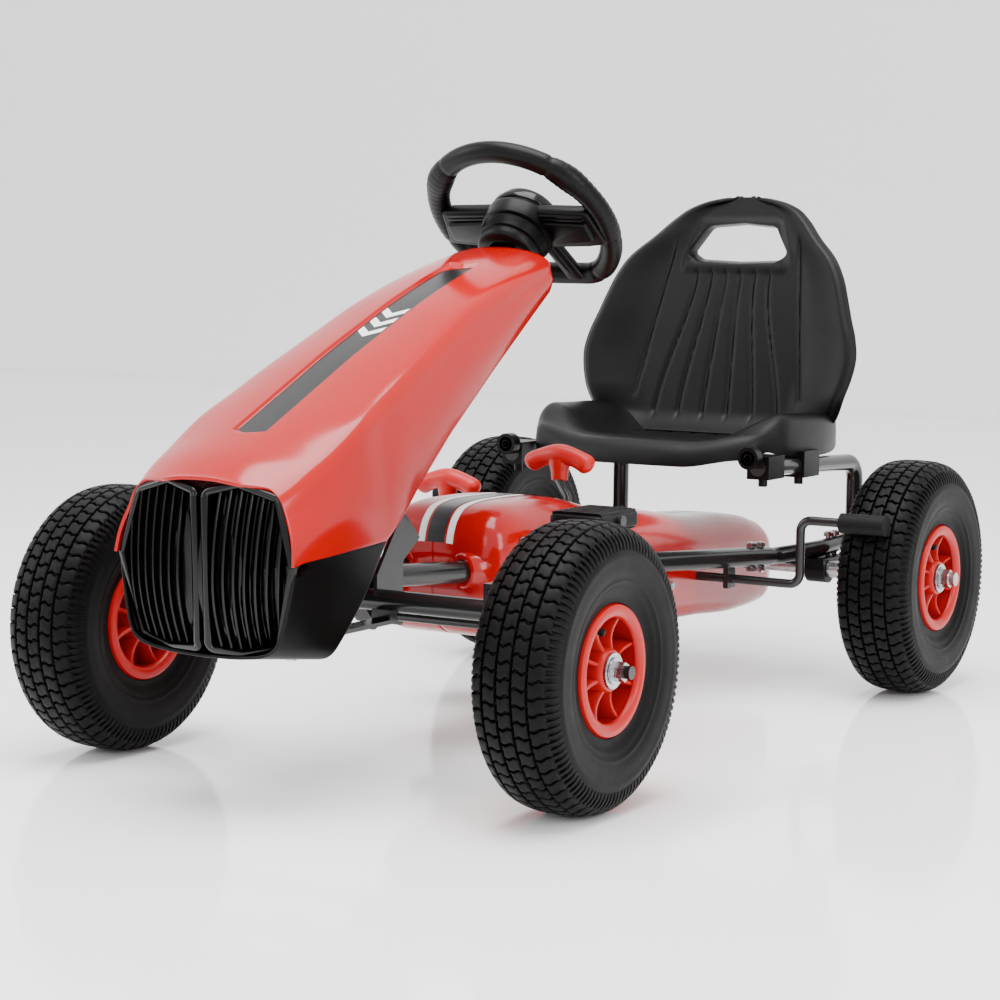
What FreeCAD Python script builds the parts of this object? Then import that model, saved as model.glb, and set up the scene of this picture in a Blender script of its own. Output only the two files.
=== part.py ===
import FreeCAD, Part
import math
import os

# Pedal go kart. Millimetres, +Z up, the kart drives towards -Y, its left side is +X.
# While the parts are made Y = 0 is the front axle; save() moves the origin to the
# middle of the overall length, on the ground.

# ---- driving dimensions -------------------------------------------------------------
wheelbase = 743.0
front_half_track = 258.0
rear_half_track = 264.0
tyre_radius = 130.0
tyre_half_width = 42.0
tyre_wall = 8.0
bead_radius = 51.0
rim_flange_radius = 58.0
rim_half_width = 34.0
rim_wall = 4.0
rim_rib_count = 8
rim_web_thickness = 6.0
hub_radius = 20.0
axle_radius = 6.0
rear_axle_radius = 7.5
bearing_radius = 13.0
bearing_length = 11.0
nut_radius = 9.0
nut_length = 9.0
thread_stub = 8.0

beam_radius = 10.0
beam_z = 172.0
kingpin_x = 190.0
kingpin_radius = 5.0
fork_half_gap = 22.0
fork_plate = 4.0
fork_end_radius = 12.0
knuckle_arm = 62.0
tie_rod_z = 148.0
tie_rod_radius = 5.0
pitman_drop = 9.0               # below the tie rod's tab, as the arm climbs when it turns
pitman_thick = 5.0
pitman_half = 8.0
pitman_pin_radius = 4.0

tube_radius = 11.0
tube_front = (20.0, 30.0, 188.0)
tube_rear = (110.6, wheelbase - 53.0, 146.0)

column_axis_y = -191.0          # on the column axis z = y - column_axis_y
column_radius = 7.0
sleeve_radius = 12.5
steering_wheel_y = 330.0
steering_wheel_radius = 107.0
steering_rim_radius = 11.5
corner_swell = 0.4              # of the rim where its flat begins
hub_cup_radius = 34.0

seat_tube_radius = 9.5
rail_x = 155.0
rail_front = (wheelbase - 182.0, 258.0)
rail_rear_z = 246.0
rail_setback = 7.0
axle_tube = (150.0, wheelbase + 2.0, 152.0)
rear_post_y = wheelbase + 86.0
rear_tube_start = wheelbase - 99.0
rear_tube_bend = wheelbase - 39.0
seat_shift = wheelbase - 743.0  # the seat's outlines are drawn for a wheelbase of 743
block_x = (140.0, 164.0)
block_y = (wheelbase - 16.0, wheelbase + 47.0)
brake_y = wheelbase - 128.0
brake_z = 128.0
brake_rod_radius = 5.0
brake_crank_x = 186.0
brake_sleeve_x = (234.0, 286.0)
brake_sleeve_radius = 11.0
brake_sleeve_z = 199.0
brake_grip_place = (-176.0, wheelbase - 277.0, 229.0)
gear_pivot = (385.0, 168.0)
gear_stem_x = 17.0
gear_grip_place = (0.0, 409.0, 272.0)

crank_y = 325.0
crank_z = 169.0
crank_arm = 100.0
crank_angle = 142.7
crank_radius = 6.0
crank_arm_x = 99.0
hanger_radius = 14.0
pedal_x = 134.0
pedal_half_width = 29.0
pedal_half_length = 40.0
pedal_half_height = 11.0
chain_pitch = 12.7
chainwheel_teeth = 28
sprocket_teeth = 14

hood_wall = 3.0
cover_wall = 2.5
fit = 0.05                      # radial clearance of a running fit
clear = 0.4                     # space between curved faces of different bodies

axle_z = tyre_radius
front_end = -221.0
rear_end = wheelbase + tyre_radius
origin_y = (front_end + rear_end) / 2.0
V = FreeCAD.Vector
X_AXIS = V(1, 0, 0)
Z_AXIS = V(0, 0, 1)
ROOT_HALF = math.sqrt(0.5)
COLUMN = V(0, ROOT_HALF, ROOT_HALF)
COLUMN_DOWN = V(0, ROOT_HALF, -ROOT_HALF)


# ---- helpers ------------------------------------------------------------------------
def cylinder(radius, start, end):
    """Solid round bar between two points."""
    start, end = V(*start), V(*end)
    return Part.makeCylinder(radius, (end - start).Length, start, end - start)


def box(low, high):
    """Box from its lowest to its highest corner."""
    size = [b - a for a, b in zip(low, high)]
    return Part.makeBox(size[0], size[1], size[2], V(*low))


def fuse(shapes):
    """One solid from several that overlap."""
    body = shapes[0].multiFuse(shapes[1:]) if len(shapes) > 1 else shapes[0]
    return body.removeSplitter()


def mirror_x(shape):
    """The same part on the other side of the kart."""
    return shape.mirror(V(0, 0, 0), X_AXIS)


def prism_x(outline, x_low, x_high):
    """Outline in the YZ plane, made solid along X."""
    points = [V(x_low, y, z) for y, z in outline]
    face = Part.Face(Part.makePolygon(points + points[:1]))
    return face.extrude(V(x_high - x_low, 0, 0))


def prism_z(outline, z_low, z_high):
    """Outline in the XY plane, made solid along Z."""
    points = [V(x, y, z_low) for x, y in outline]
    face = Part.Face(Part.makePolygon(points + points[:1]))
    return face.extrude(V(0, 0, z_high - z_low))


def bent_bar(points, radius, bend):
    """Round bar along straight runs joined by tangent arcs."""
    points = [V(*p) for p in points]
    edges = []
    last = points[0]
    for before, corner, after in zip(points, points[1:], points[2:]):
        back = (before - corner).normalize()
        ahead = (after - corner).normalize()
        half = back.getAngle(ahead) / 2.0
        reach = bend / math.tan(half)
        enter, leave = corner + back * reach, corner + ahead * reach
        middle_line = (back + ahead).normalize()
        centre = corner + middle_line * (bend / math.sin(half))
        middle = centre - middle_line * bend
        edges.append(Part.LineSegment(last, enter).toShape())
        edges.append(Part.Arc(enter, middle, leave).toShape())
        last = leave
    edges.append(Part.LineSegment(last, points[-1]).toShape())
    path = Part.Wire(edges)
    ring = Part.Wire(Part.makeCircle(radius, points[0], points[1] - points[0]))
    return path.makePipeShell([ring], True, False)


def revolve_x(outline, x_centre, z_centre, y_centre=0.0):
    """Closed (x, r) outline turned about an axis along X."""
    points = [V(x_centre + x, y_centre, z_centre + r) for x, r in outline]
    face = Part.Face(Part.makePolygon(points + points[:1]))
    return face.revolve(V(x_centre, y_centre, z_centre), X_AXIS, 360)


def on_column(s, u=0.0, x=0.0):
    """Point s along the column from the steering wheel's centre, u below the axis."""
    start = V(x, steering_wheel_y, steering_wheel_y - column_axis_y)
    return start + COLUMN * s + COLUMN_DOWN * u


def column_bar(radius, s_low, s_high, u=0.0, x=0.0):
    """Round bar along the column."""
    return Part.makeCylinder(radius, s_high - s_low, on_column(s_low, u, x), COLUMN)


def column_block(half_x, u_low, u_high, s_low, s_high, x=0.0):
    """Block square to the column."""
    corner = on_column(s_low, u_low, x - half_x)
    block = Part.makeBox(2 * half_x, u_high - u_low, s_high - s_low)
    turn = FreeCAD.Rotation(X_AXIS, -45)
    block.Placement = FreeCAD.Placement(corner, turn)
    return block


def tube_at(y):
    """Centre of the left main tube at a given Y."""
    share = (y - tube_front[1]) / (tube_rear[1] - tube_front[1])
    return [a + share * (b - a) for a, b in zip(tube_front, tube_rear)]


def main_tube(radius, start_y, end_y):
    """The left main tube, or the space it needs, between two values of Y."""
    return cylinder(radius, tube_at(start_y), tube_at(end_y))


def bolt(radius, head_radius, head, start, end):
    """Bolt with a hexagon head at its start and a nut just short of its end."""
    start, end = V(*start), V(*end)
    way = (end - start).normalize()
    shank = Part.makeCylinder(radius, (end - start).Length, start, way)
    hexagon = hex_prism(head_radius, head, start - way * head, way)
    nut = hex_prism(head_radius, head, end - way * (head + 1.0), way)
    return fuse([shank, hexagon, nut])


def hex_prism(radius, length, start, way):
    """Hexagonal prism across-corners radius, along way from start."""
    turn = FreeCAD.Rotation(Z_AXIS, way)
    corners = []
    for i in range(6):
        angle = math.radians(60 * i)
        corner = V(radius * math.cos(angle), radius * math.sin(angle), 0)
        corners.append(start + turn.multVec(corner))
    face = Part.Face(Part.makePolygon(corners + corners[:1]))
    return face.extrude(way * length)


def save(name, *shapes):
    """Write one node's STEP, with the origin moved to the middle of the kart."""
    solids = []
    for shape in shapes:
        for solid in shape.Solids:
            moved = solid.copy()
            moved.translate(V(0, -origin_y, 0))
            solids.append(moved)
    result = solids[0] if len(solids) == 1 else Part.makeCompound(solids)
    result.exportStep(os.path.join("parts", name + ".step"))


# ---- wheels -------------------------------------------------------------------------
def tyre(x, y):
    """Hollow pneumatic tyre, open at the beads."""
    w = tyre_half_width
    outer = [(28, bead_radius), (33, bead_radius), (33, 66), (w - 2, 80), (w, 95),
             (w - 2, 112), (w - 8, 124), (w - 18, tyre_radius)]
    inner = [(28, 64), (w - tyre_wall - 2, 82), (w - tyre_wall, 95),
             (w - tyre_wall - 3, 110), (w - 20, tyre_radius - tyre_wall - 2)]
    half = outer + [(-a, b) for a, b in reversed(outer)]
    half += [(-a, b) for a, b in inner] + [(a, b) for a, b in reversed(inner)]
    return revolve_x(half, x, axle_z, y)


def rim(x, y, side):
    """One-piece plastic rim: drum, flanges, ribbed outer face and hub."""
    r = bead_radius - clear / 4
    w = rim_half_width
    drum = [(-w, rim_flange_radius), (-w, r - rim_wall), (w, r - rim_wall),
            (w, rim_flange_radius), (w - 0.8, rim_flange_radius), (w - 0.8, r), (-w + 0.8, r),
            (-w + 0.8, rim_flange_radius)]
    body = [revolve_x(drum, x, axle_z, y)]
    web = cylinder(r - 1, (x + side * 2, y, axle_z), (x + side * (2 + rim_web_thickness), y, axle_z))
    hub = cylinder(hub_radius, (x - w, y, axle_z), (x + w, y, axle_z))
    body += [web, hub]
    for i in range(rim_rib_count):
        rib = box((x - w + 6, y - 2.5, axle_z + hub_radius - 2), (x + w - 6, y + 2.5, axle_z + r - 1))
        rib.rotate(V(x, y, axle_z), X_AXIS, 360.0 * i / rim_rib_count)
        body.append(rib)
    whole = fuse(body)
    for end in (-1, 1):
        pocket = cylinder(bearing_radius, (x + end * (w - bearing_length), y, axle_z),
                          (x + end * (w + 1), y, axle_z))
        whole = whole.cut(pocket)
    bore = cylinder(10, (x - w, y, axle_z), (x + w, y, axle_z))
    valve_way = cylinder(5, (x + side * 16, y, axle_z + 30), (x + side * 16, y, axle_z + 60))
    return whole.cut(bore).cut(valve_way)


def inner_tube(x, y, side):
    """Inner tube with its valve stem through the rim."""
    ring = Part.makeTorus(86, 23, V(x, y, axle_z), X_AXIS)
    hollow = Part.makeTorus(86, 21.5, V(x, y, axle_z), X_AXIS)
    stem = cylinder(4, (x + side * 16, y, axle_z + 36), (x + side * 16, y, axle_z + 72))
    hole = cylinder(1.2, (x + side * 16, y, axle_z + 35), (x + side * 16, y, axle_z + 80))
    return ring.fuse(stem).cut(hollow).cut(hole)


def wheel_bearings(x, y, bore):
    """Two flanged bearings in the hub."""
    rings = []
    for end in (-1, 1):
        inner = x + end * (rim_half_width - bearing_length)
        outer = x + end * rim_half_width
        ring = cylinder(bearing_radius - 0.02, (inner, y, axle_z), (outer, y, axle_z))
        ring = ring.fuse(cylinder(16, (outer, y, axle_z), (outer + end * 1.5, y, axle_z)))
        rings.append(ring.cut(cylinder(bore + fit, (x - 50, y, axle_z), (x + 50, y, axle_z))))
    return rings


def wheels():
    """The four wheels, each as tyre, rim, inner tube and bearings."""
    spots = [("front_left", front_half_track, 0.0, 1, axle_radius),
             ("front_right", -front_half_track, 0.0, -1, axle_radius),
             ("rear_left", rear_half_track, wheelbase, 1, rear_axle_radius),
             ("rear_right", -rear_half_track, wheelbase, -1, rear_axle_radius)]
    for name, x, y, side, bore in spots:
        save("tyre_" + name, tyre(x, y))
        save("rim_" + name, rim(x, y, side))
        save("inner_tube_" + name, inner_tube(x, y, side))
        save("bearings_" + name, *wheel_bearings(x, y, bore))


# ---- front axle and steering --------------------------------------------------------
def fork(side):
    """C-shaped bracket at the end of the front beam that holds the kingpin."""
    plates = []
    for z in (beam_z - fork_half_gap - fork_plate, beam_z + fork_half_gap):
        flat = box((kingpin_x - 22, -fork_end_radius, z), (kingpin_x, fork_end_radius, z + fork_plate))
        end = cylinder(fork_end_radius, (kingpin_x, 0, z), (kingpin_x, 0, z + fork_plate))
        plates.append(flat.fuse(end))
    web = box((kingpin_x - 24, -fork_end_radius, beam_z - fork_half_gap - fork_plate),
              (kingpin_x - 20, fork_end_radius, beam_z + fork_half_gap + fork_plate))
    whole = fuse(plates + [web])
    hole = cylinder(kingpin_radius + fit, (kingpin_x, 0, 100), (kingpin_x, 0, 250))
    whole = whole.cut(hole)
    return whole if side > 0 else mirror_x(whole)


def steering_stand():
    """Welded stand on the front beam that carries the column sleeve and the tubes."""
    sides = [(-9, beam_z), (34, beam_z), (34, 205), (62, 224), (34, 252), (-9, 196)]
    left = prism_x(sides, 46, 50)
    bridge = box((-50, tube_front[1] - 2, 177), (50, tube_front[1] + 2, 202))
    plate = column_block(50, -15, 15, -406, -402)
    sleeve = column_bar(sleeve_radius, -404, -112)
    return [left, mirror_x(left), bridge, plate, sleeve]


def hood_post():
    """Post on the sleeve that the hood is screwed to."""
    return column_block(10, -24.5, -8, -150, -138)


def nose_bars():
    """Two flat bars under the beam that carry the nose fairing."""
    bars = []
    for x in (-62, 42):
        flat = box((x, -160, 151), (x + 20, 8, 155))
        riser = box((x, -6, 154), (x + 20, 6, beam_z - 4))
        bars += [flat, riser]
    return bars


def main_frame():
    """Welded front frame: beam, forks, stand, sleeve, two main tubes and brake brackets."""
    beam = cylinder(beam_radius, (-kingpin_x + 22, 0, beam_z), (kingpin_x - 22, 0, beam_z))
    solids = [beam, fork(1), fork(-1), hood_post()] + steering_stand() + nose_bars()
    for side in (1, -1):
        tube = main_tube(tube_radius, tube_front[1], tube_rear[1])
        shell = cylinder(hanger_radius, (14, crank_y, crank_z), (84, crank_y, crank_z))
        x, y, z = tube_at(brake_y)
        lug = box((x - 3, y - 9, z - tube_radius - 22), (x + 3, y + 9, z - tube_radius + 6))
        group = [tube, shell, lug]
        solids += group if side > 0 else [mirror_x(s) for s in group]
    solids.append(gear_pin())
    whole = fuse(solids)
    cuts = [column_bar(10, -410, -392), column_bar(10, -124, -100),
            column_bar(8.5, -410, -100),
            cylinder(9, (-90, crank_y, crank_z), (90, crank_y, crank_z)),
            cylinder(brake_rod_radius + fit, (-200, brake_y, brake_z), (200, brake_y, brake_z))]
    for x, y in joint_bolt_places():
        cuts.append(cylinder(3.2, (x, y, 100), (x, y, 200)))
    socket = main_tube(seat_tube_radius + fit, rear_tube_start - 4, tube_rear[1] + 5)
    cuts += [socket, mirror_x(socket)]
    for x in (-52, 52):
        for y in (-145, -95):
            cuts.append(cylinder(2.5, (x, y, 148), (x, y, 160)))
    return whole.cut(Part.makeCompound(cuts))


def column_bushes():
    """Nylon bushes at both ends of the column sleeve."""
    bushes = []
    for low, high, flange in ((-406, -392, -408), (-124, -112, -112)):
        body = column_bar(10 - 0.02, low, high)
        collar = column_bar(13, flange, flange + 2)
        bushes.append(body.fuse(collar).cut(column_bar(column_radius + fit, -420, -100)))
    return bushes


def pitman_radius():
    """Distance from the column axis to the tie rod's hole."""
    return (knuckle_arm - column_axis_y - tie_rod_z) * ROOT_HALF


def foot_s():
    """Place along the column of the plane that holds the tie rod's tab."""
    y = (knuckle_arm + tie_rod_z + column_axis_y) / 2.0
    return (y - steering_wheel_y) / ROOT_HALF


def steering_shaft():
    """Column shaft with the pitman arm and its pin at the bottom."""
    s, p = foot_s(), pitman_radius()
    low, high = s - pitman_drop - pitman_thick, s - pitman_drop
    shaft = column_bar(column_radius, low, -6)
    collar = column_bar(11, -110 + clear, -104)
    arm = column_block(pitman_half, 0, p, low, high)
    tip = column_bar(pitman_half, low, high, p)
    pin = column_bar(pitman_pin_radius, low, s + 12, p)
    head = column_bar(pitman_pin_radius + 3, s + 11, s + 14, p)
    return fuse([shaft, collar, arm, tip, pin, head])


def tie_rod():
    """Tie rod with flattened ends and a tilted tab in its middle."""
    y, z, t = knuckle_arm, tie_rod_z, tie_rod_radius
    s, p = foot_s(), pitman_radius()
    tab = column_block(26, p - 12, p + 12, s - 2.5, s + 2.5)
    solids = [tab]
    for side in (-1, 1):
        solids.append(cylinder(t, (side * 20, y, z), (side * (kingpin_x - 12), y, z)))
        solids.append(box((min(side * (kingpin_x - 16), side * kingpin_x), y - 8, z - 2.5),
                          (max(side * (kingpin_x - 16), side * kingpin_x), y + 8, z + 2.5)))
        solids.append(cylinder(8, (side * kingpin_x, y, z - 2.5), (side * kingpin_x, y, z + 2.5)))
    whole = fuse(solids).cut(column_bar(pitman_pin_radius + 1.6, s - 10, s + 10, p))
    for side in (-1, 1):
        whole = whole.cut(cylinder(4, (side * kingpin_x, y, z - 9), (side * kingpin_x, y, z + 9)))
    return whole


def tie_rod_bolts():
    """Bolts that pin the tie rod to the knuckle arms."""
    bolts = []
    for side in (-1, 1):
        x = side * kingpin_x
        bolts.append(bolt(3.95, 7, 4, (x, knuckle_arm, tie_rod_z - 2.5), (x, knuckle_arm, tie_rod_z + 15)))
    return bolts


def knuckle(side):
    """Steering knuckle: kingpin tube, drop plate, stub axle and steering arm."""
    low, high = beam_z - fork_half_gap + 0.5, beam_z + fork_half_gap - 0.5
    tube = cylinder(10, (kingpin_x, 0, low), (kingpin_x, 0, high))
    link = box((kingpin_x, -8, low + 6), (kingpin_x + 16, 8, high - 4))
    plate = box((kingpin_x + 14, -12, axle_z - 12), (kingpin_x + 19, 12, high - 4))
    stub_end = front_half_track + rim_half_width + 2 + nut_length + thread_stub
    stub = cylinder(axle_radius, (kingpin_x + 15, 0, axle_z), (stub_end, 0, axle_z))
    shoulder = cylinder(9, (kingpin_x + 18, 0, axle_z),
                        (front_half_track - rim_half_width - 1.5 - clear, 0, axle_z))
    arm_z = tie_rod_z + 3.0
    arm = box((kingpin_x - 7, 4, arm_z), (kingpin_x + 7, knuckle_arm, arm_z + 5))
    eye = cylinder(8, (kingpin_x, knuckle_arm, arm_z), (kingpin_x, knuckle_arm, arm_z + 5))
    whole = fuse([tube, link, plate, stub, shoulder, arm, eye])
    for y, radius in ((0, kingpin_radius + fit), (knuckle_arm, 4.3)):
        whole = whole.cut(cylinder(radius, (kingpin_x, y, 100), (kingpin_x, y, 250)))
    return whole if side > 0 else mirror_x(whole)


def kingpins():
    """Kingpin bolts, one in each fork."""
    pins = []
    top = beam_z + fork_half_gap + fork_plate
    bottom = beam_z - fork_half_gap - fork_plate
    for side in (-1, 1):
        x = side * kingpin_x
        pin = cylinder(kingpin_radius, (x, 0, bottom - 3), (x, 0, top + 1))
        washer = cylinder(9.5, (x, 0, top), (x, 0, top + 1.6))
        head = hex_prism(8.5, 6, V(x, 0, top + 1.5), Z_AXIS)
        nut = cylinder(7, (x, 0, bottom - 4.5), (x, 0, bottom))
        pins.append(fuse([pin, washer, head, nut]))
    return pins


def axle_nut(x, y, side, bore):
    """Washer and lock nut on the end of an axle."""
    start = x + side * (rim_half_width + 1.5 + 0.5)
    washer = cylinder(12, (start, y, axle_z), (start + side * 1.6, y, axle_z))
    nut = hex_prism(nut_radius + bore - 6, nut_length, V(start + side * 1.5, y, axle_z), X_AXIS * side)
    return washer.fuse(nut).cut(cylinder(bore + 0.02, (x, y, axle_z), (x + side * 80, y, axle_z)))


def steering_wheel():
    """Steering wheel: D-shaped rim, spokes, hub plate and hub cup, square to the column."""
    reach = steering_wheel_radius - steering_rim_radius
    flat = reach * 0.78
    half = math.acos(flat / reach)
    solids = []
    ring = Part.makeTorus(reach, steering_rim_radius, on_column(0), COLUMN)
    ring = ring.cut(column_block(200, flat, 200, -40, 40))
    solids.append(ring)
    bar = Part.makeCylinder(steering_rim_radius, 2 * reach * math.sin(half),
                            on_column(0, flat, -reach * math.sin(half)), X_AXIS)
    solids.append(bar)
    for side in (-1, 1):
        corner = on_column(0, flat, side * reach * math.sin(half))
        solids.append(Part.makeSphere(steering_rim_radius + corner_swell, corner))
        solids.append(column_block(35, -20, 16, -14, -2, side * (reach - 36)))
        leg = column_block(9, 8, flat, -12, -3, side * 34)
        solids.append(leg)
    solids.append(column_bar(hub_cup_radius, -20, -2))
    cup = Part.makeCone(20, hub_cup_radius, 32, on_column(-50), COLUMN)
    solids.append(cup)
    whole = fuse(solids)
    return whole.cut(column_bar(column_radius + fit, -60, -5)).cut(column_bar(27, -5, 0))


def steering_cap():
    """Domed centre cap pressed into the hub plate."""
    plug = column_bar(27 - fit, -4.9, 2)
    dome = Part.makeSphere(46, on_column(-30)).common(column_bar(31, -2, 30))
    return plug.fuse(dome)


# ---- body shells --------------------------------------------------------------------
hood_stations = [                # y, top, half width, shoulder drop, lower half width
    (-210, 297, 74, 10, 80), (-178, 316, 88, 24, 97), (-130, 339, 91, 18, 100),
    (-60, 371, 88, 14, 100), (20, 407, 82, 13, 96), (110, 442, 75, 11, 86),
    (200, 473, 69, 11, 75), (282, 496, 62, 12, 66)]
hood_side = [(-212, 283), (-190, 231), (-68, 233), (280, 447), (300, 470), (290, 520), (-215, 420)]
fairing_side = [(-188, 230), (-190, 141), (-150, 139), (-66, 227), (-68, 232.6)]
side_bottom_z = 130.0


def shell_section(station, inset):
    """Closed section of the hood and fairing at one station, moved in by inset."""
    y, top, half, drop, lower = station
    t, h, w = top - inset, half - inset, lower - inset
    shoulder = top - drop - inset
    low_z = side_bottom_z + inset
    points = [V(-w + 14, y, low_z), V(-w, y, low_z + 60), V(-h, y, shoulder - 14)]
    edges = [Part.LineSegment(points[0], points[1]).toShape(),
             Part.LineSegment(points[1], points[2]).toShape(),
             Part.Arc(points[2], V(-h + 3, y, shoulder - 3), V(-h + 14, y, shoulder + 4)).toShape(),
             Part.Arc(V(-h + 14, y, shoulder + 4), V(0, y, t), V(h - 14, y, shoulder + 4)).toShape(),
             Part.Arc(V(h - 14, y, shoulder + 4), V(h - 3, y, shoulder - 3),
                      V(h, y, shoulder - 14)).toShape(),
             Part.LineSegment(V(h, y, shoulder - 14), V(w, y, low_z + 60)).toShape(),
             Part.LineSegment(V(w, y, low_z + 60), V(w - 14, y, low_z)).toShape(),
             Part.LineSegment(V(w - 14, y, low_z), V(-w + 14, y, low_z)).toShape()]
    return Part.Wire(edges)


def nose_body(inset, y_shift=0.0):
    """Whole nose volume, from the grille to the column, moved in by inset."""
    sections = []
    for y, top, half, drop, lower in hood_stations:
        sections.append(shell_section((y + y_shift, top, half, drop, lower), inset))
    return Part.makeLoft(sections, True, False)


def hood():
    """Red hood: top and side panels over the column, open below."""
    outer = nose_body(0).common(prism_x(hood_side, -150, 150))
    shell = outer.cut(nose_body(hood_wall)).cut(grille_space(clear))
    return shell.cut(column_bar(sleeve_radius + clear, -404, -20))


def nose_fairing():
    """Black lower fairing under the hood, with a floor that the nose bars carry."""
    outer = nose_body(0).common(prism_x(fairing_side, -150, 150))
    cavity = nose_body(hood_wall).cut(box((-200, -300, 0), (200, 300, 139 + 4)))
    shell = outer.cut(cavity).cut(grille_space(clear))
    floor = box((-66, -186, 142), (66, -88, 146)).common(nose_body(hood_wall / 2))
    bosses = []
    for x in (-52, 52):
        for y in (-145, -95):
            bosses.append(cylinder(7, (x, y, 142), (x, y, 151 - fit)))
    whole = fuse([shell, floor] + bosses)
    for x in (-52, 52):
        for y in (-145, -95):
            whole = whole.cut(cylinder(2.5, (x, y, 120), (x, y, 170)))
    return whole


def fairing_screws():
    """Screws that hold the nose fairing on its bars and the hood on its post."""
    screws = []
    for x in (-52, 52):
        for y in (-145, -95):
            shank = cylinder(2.4, (x, y, 139), (x, y, 161))
            head = cylinder(5, (x, y, 136.5), (x, y, 139))
            screws.append(shank.fuse(head))
    return screws


grille_corners = [(0, 292), (38, 299), (75, 285), (97, 225), (74, 151), (40, 143), (0, 146)]


def grille_outline(shrink):
    """Half outline of the grille in the XZ plane, moved in by shrink."""
    centre = (46, 222)
    points = []
    for x, z in grille_corners:
        dx, dz = x - centre[0], z - centre[1]
        length = math.hypot(dx, dz)
        scale = (length - shrink) / length
        points.append((max(centre[0] + dx * scale, 3.0 if shrink else 0.0), centre[1] + dz * scale))
    return points


def grille_half(shrink, y_front, y_back):
    """One half of the grille, swept back a little from its middle."""
    points = [V(x, y_front, z) for x, z in grille_outline(shrink)]
    face = Part.Face(Part.makePolygon(points + points[:1]))
    return face.extrude(V(0, y_back - y_front, 0))


def grille_space(gap):
    """Space that the hood and the fairing leave for the grille."""
    half = grille_half(-gap, -260, -186)
    return half.fuse(mirror_x(half))


def grille():
    """Black grille: two framed panels of upright slats either side of a middle bar."""
    frame = grille_half(0, -214, -188).cut(grille_half(9, -230, -194))
    slats = []
    for i in range(7):
        x = 14 + i * 11.5
        slats.append(box((x - 2.5, -211, 140), (x + 2.5, -196, 305)))
    bars = Part.makeCompound(slats).common(grille_half(6, -230, -192))
    middle = box((0, front_end, 150), (6, -196, 290))
    half = fuse([frame, middle] + bars.Solids)
    return fuse([half, mirror_x(half)])


cover_stations = [               # y, half width, top, bottom
    (160, 42, 206, 150), (168, 62, 226, 128), (186, 74, 239, 116), (240, 78, 243, 106),
    (310, 77, 241, 100), (crank_y + 1.4 + (wheelbase - crank_y) / 5, 72, 222, 94),
    (wheelbase - 200, 64, 206, 84), (wheelbase - 4, 55, 187, 72),
    (wheelbase + 95, 47, 166, 78)]


def cover_section(station, inset):
    """Closed rounded section of the chain cover at one station."""
    y, half, top, bottom = station
    h, t, b = half - inset, top - inset, bottom + inset
    r = min(h, (t - b) / 2) * 0.55
    low = r * 0.5
    k, m = r * (1 - ROOT_HALF), low * (1 - ROOT_HALF)
    edges = [Part.LineSegment(V(-h, y, b + low), V(-h, y, t - r)).toShape(),
             Part.Arc(V(-h, y, t - r), V(-h + k, y, t - k), V(-h + r, y, t)).toShape(),
             Part.LineSegment(V(-h + r, y, t), V(h - r, y, t)).toShape(),
             Part.Arc(V(h - r, y, t), V(h - k, y, t - k), V(h, y, t - r)).toShape(),
             Part.LineSegment(V(h, y, t - r), V(h, y, b + low)).toShape(),
             Part.Arc(V(h, y, b + low), V(h - m, y, b + m), V(h - low, y, b)).toShape(),
             Part.LineSegment(V(h - low, y, b), V(-h + low, y, b)).toShape(),
             Part.Arc(V(-h + low, y, b), V(-h + m, y, b + m), V(-h, y, b + low)).toShape()]
    return Part.Wire(edges)


def cover_body(inset):
    """Outer or inner volume of the chain cover."""
    stations = list(cover_stations)
    if inset:
        first, last = stations[0], stations[-1]
        stations[0] = (first[0] + inset,) + first[1:]
        stations[-1] = (last[0] - inset,) + last[1:]
    return Part.makeLoft([cover_section(s, inset) for s in stations], True, False)


def chain_cover(side):
    """One half of the red chain cover, cut at the middle."""
    shell = cover_body(0).cut(cover_body(cover_wall))
    half_box = box((0.1, 100, 0), (200, rear_end + 30, 400))
    if side < 0:
        half_box = mirror_x(half_box)
    cuts = []
    tube = main_tube(tube_radius + clear, 60, tube_rear[1])
    cuts += [tube, mirror_x(tube)]
    brake_way = cylinder(brake_rod_radius + 2, (-120, brake_y, brake_z), (120, brake_y, brake_z))
    cuts.append(brake_way)
    cuts.append(cylinder(hanger_radius + clear, (-120, crank_y, crank_z), (120, crank_y, crank_z)))
    cuts.append(cylinder(rear_axle_radius + 3, (-120, wheelbase, axle_z), (120, wheelbase, axle_z)))
    cuts.append(box((gear_stem_x - 8, 366, 200), (gear_stem_x + 8, 424, 260)))
    for x, y, z in cover_screw_places():
        cuts.append(cylinder(2.5, (-200, y, z), (200, y, z)))
        cuts.append(cylinder(4.7, (x + 0.5, y, z), (x + 20, y, z)))
    shell = shell.common(half_box).cut(Part.makeCompound(cuts))
    bosses = []
    for x, y, z in cover_screw_places():
        end = side * (x - cover_wall / 2)
        low, high = min(side * 0.1, end), max(side * 0.1, end)
        bosses.append(cylinder(5, (low, y, z), (high, y, z)).cut(cylinder(2.5, (-99, y, z), (99, y, z))))
    largest = max(shell.Solids, key=lambda s: s.Volume)
    return fuse([largest] + bosses)


def cover_half(y):
    """Half width of the cover at a given Y."""
    for (y0, w0, *_), (y1, w1, *_) in zip(cover_stations, cover_stations[1:]):
        if y0 <= y <= y1:
            return w0 + (w1 - w0) * (y - y0) / (y1 - y0)
    raise ValueError("outside the cover")


def cover_screw_places():
    """Screws through the side of the cover: outer x, y, z."""
    places = ((205.0, 208.0), (wheelbase - 198.0, 125.0), (wheelbase + 57.0, 115.0))
    return [(cover_half(y), y, z) for y, z in places]


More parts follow.
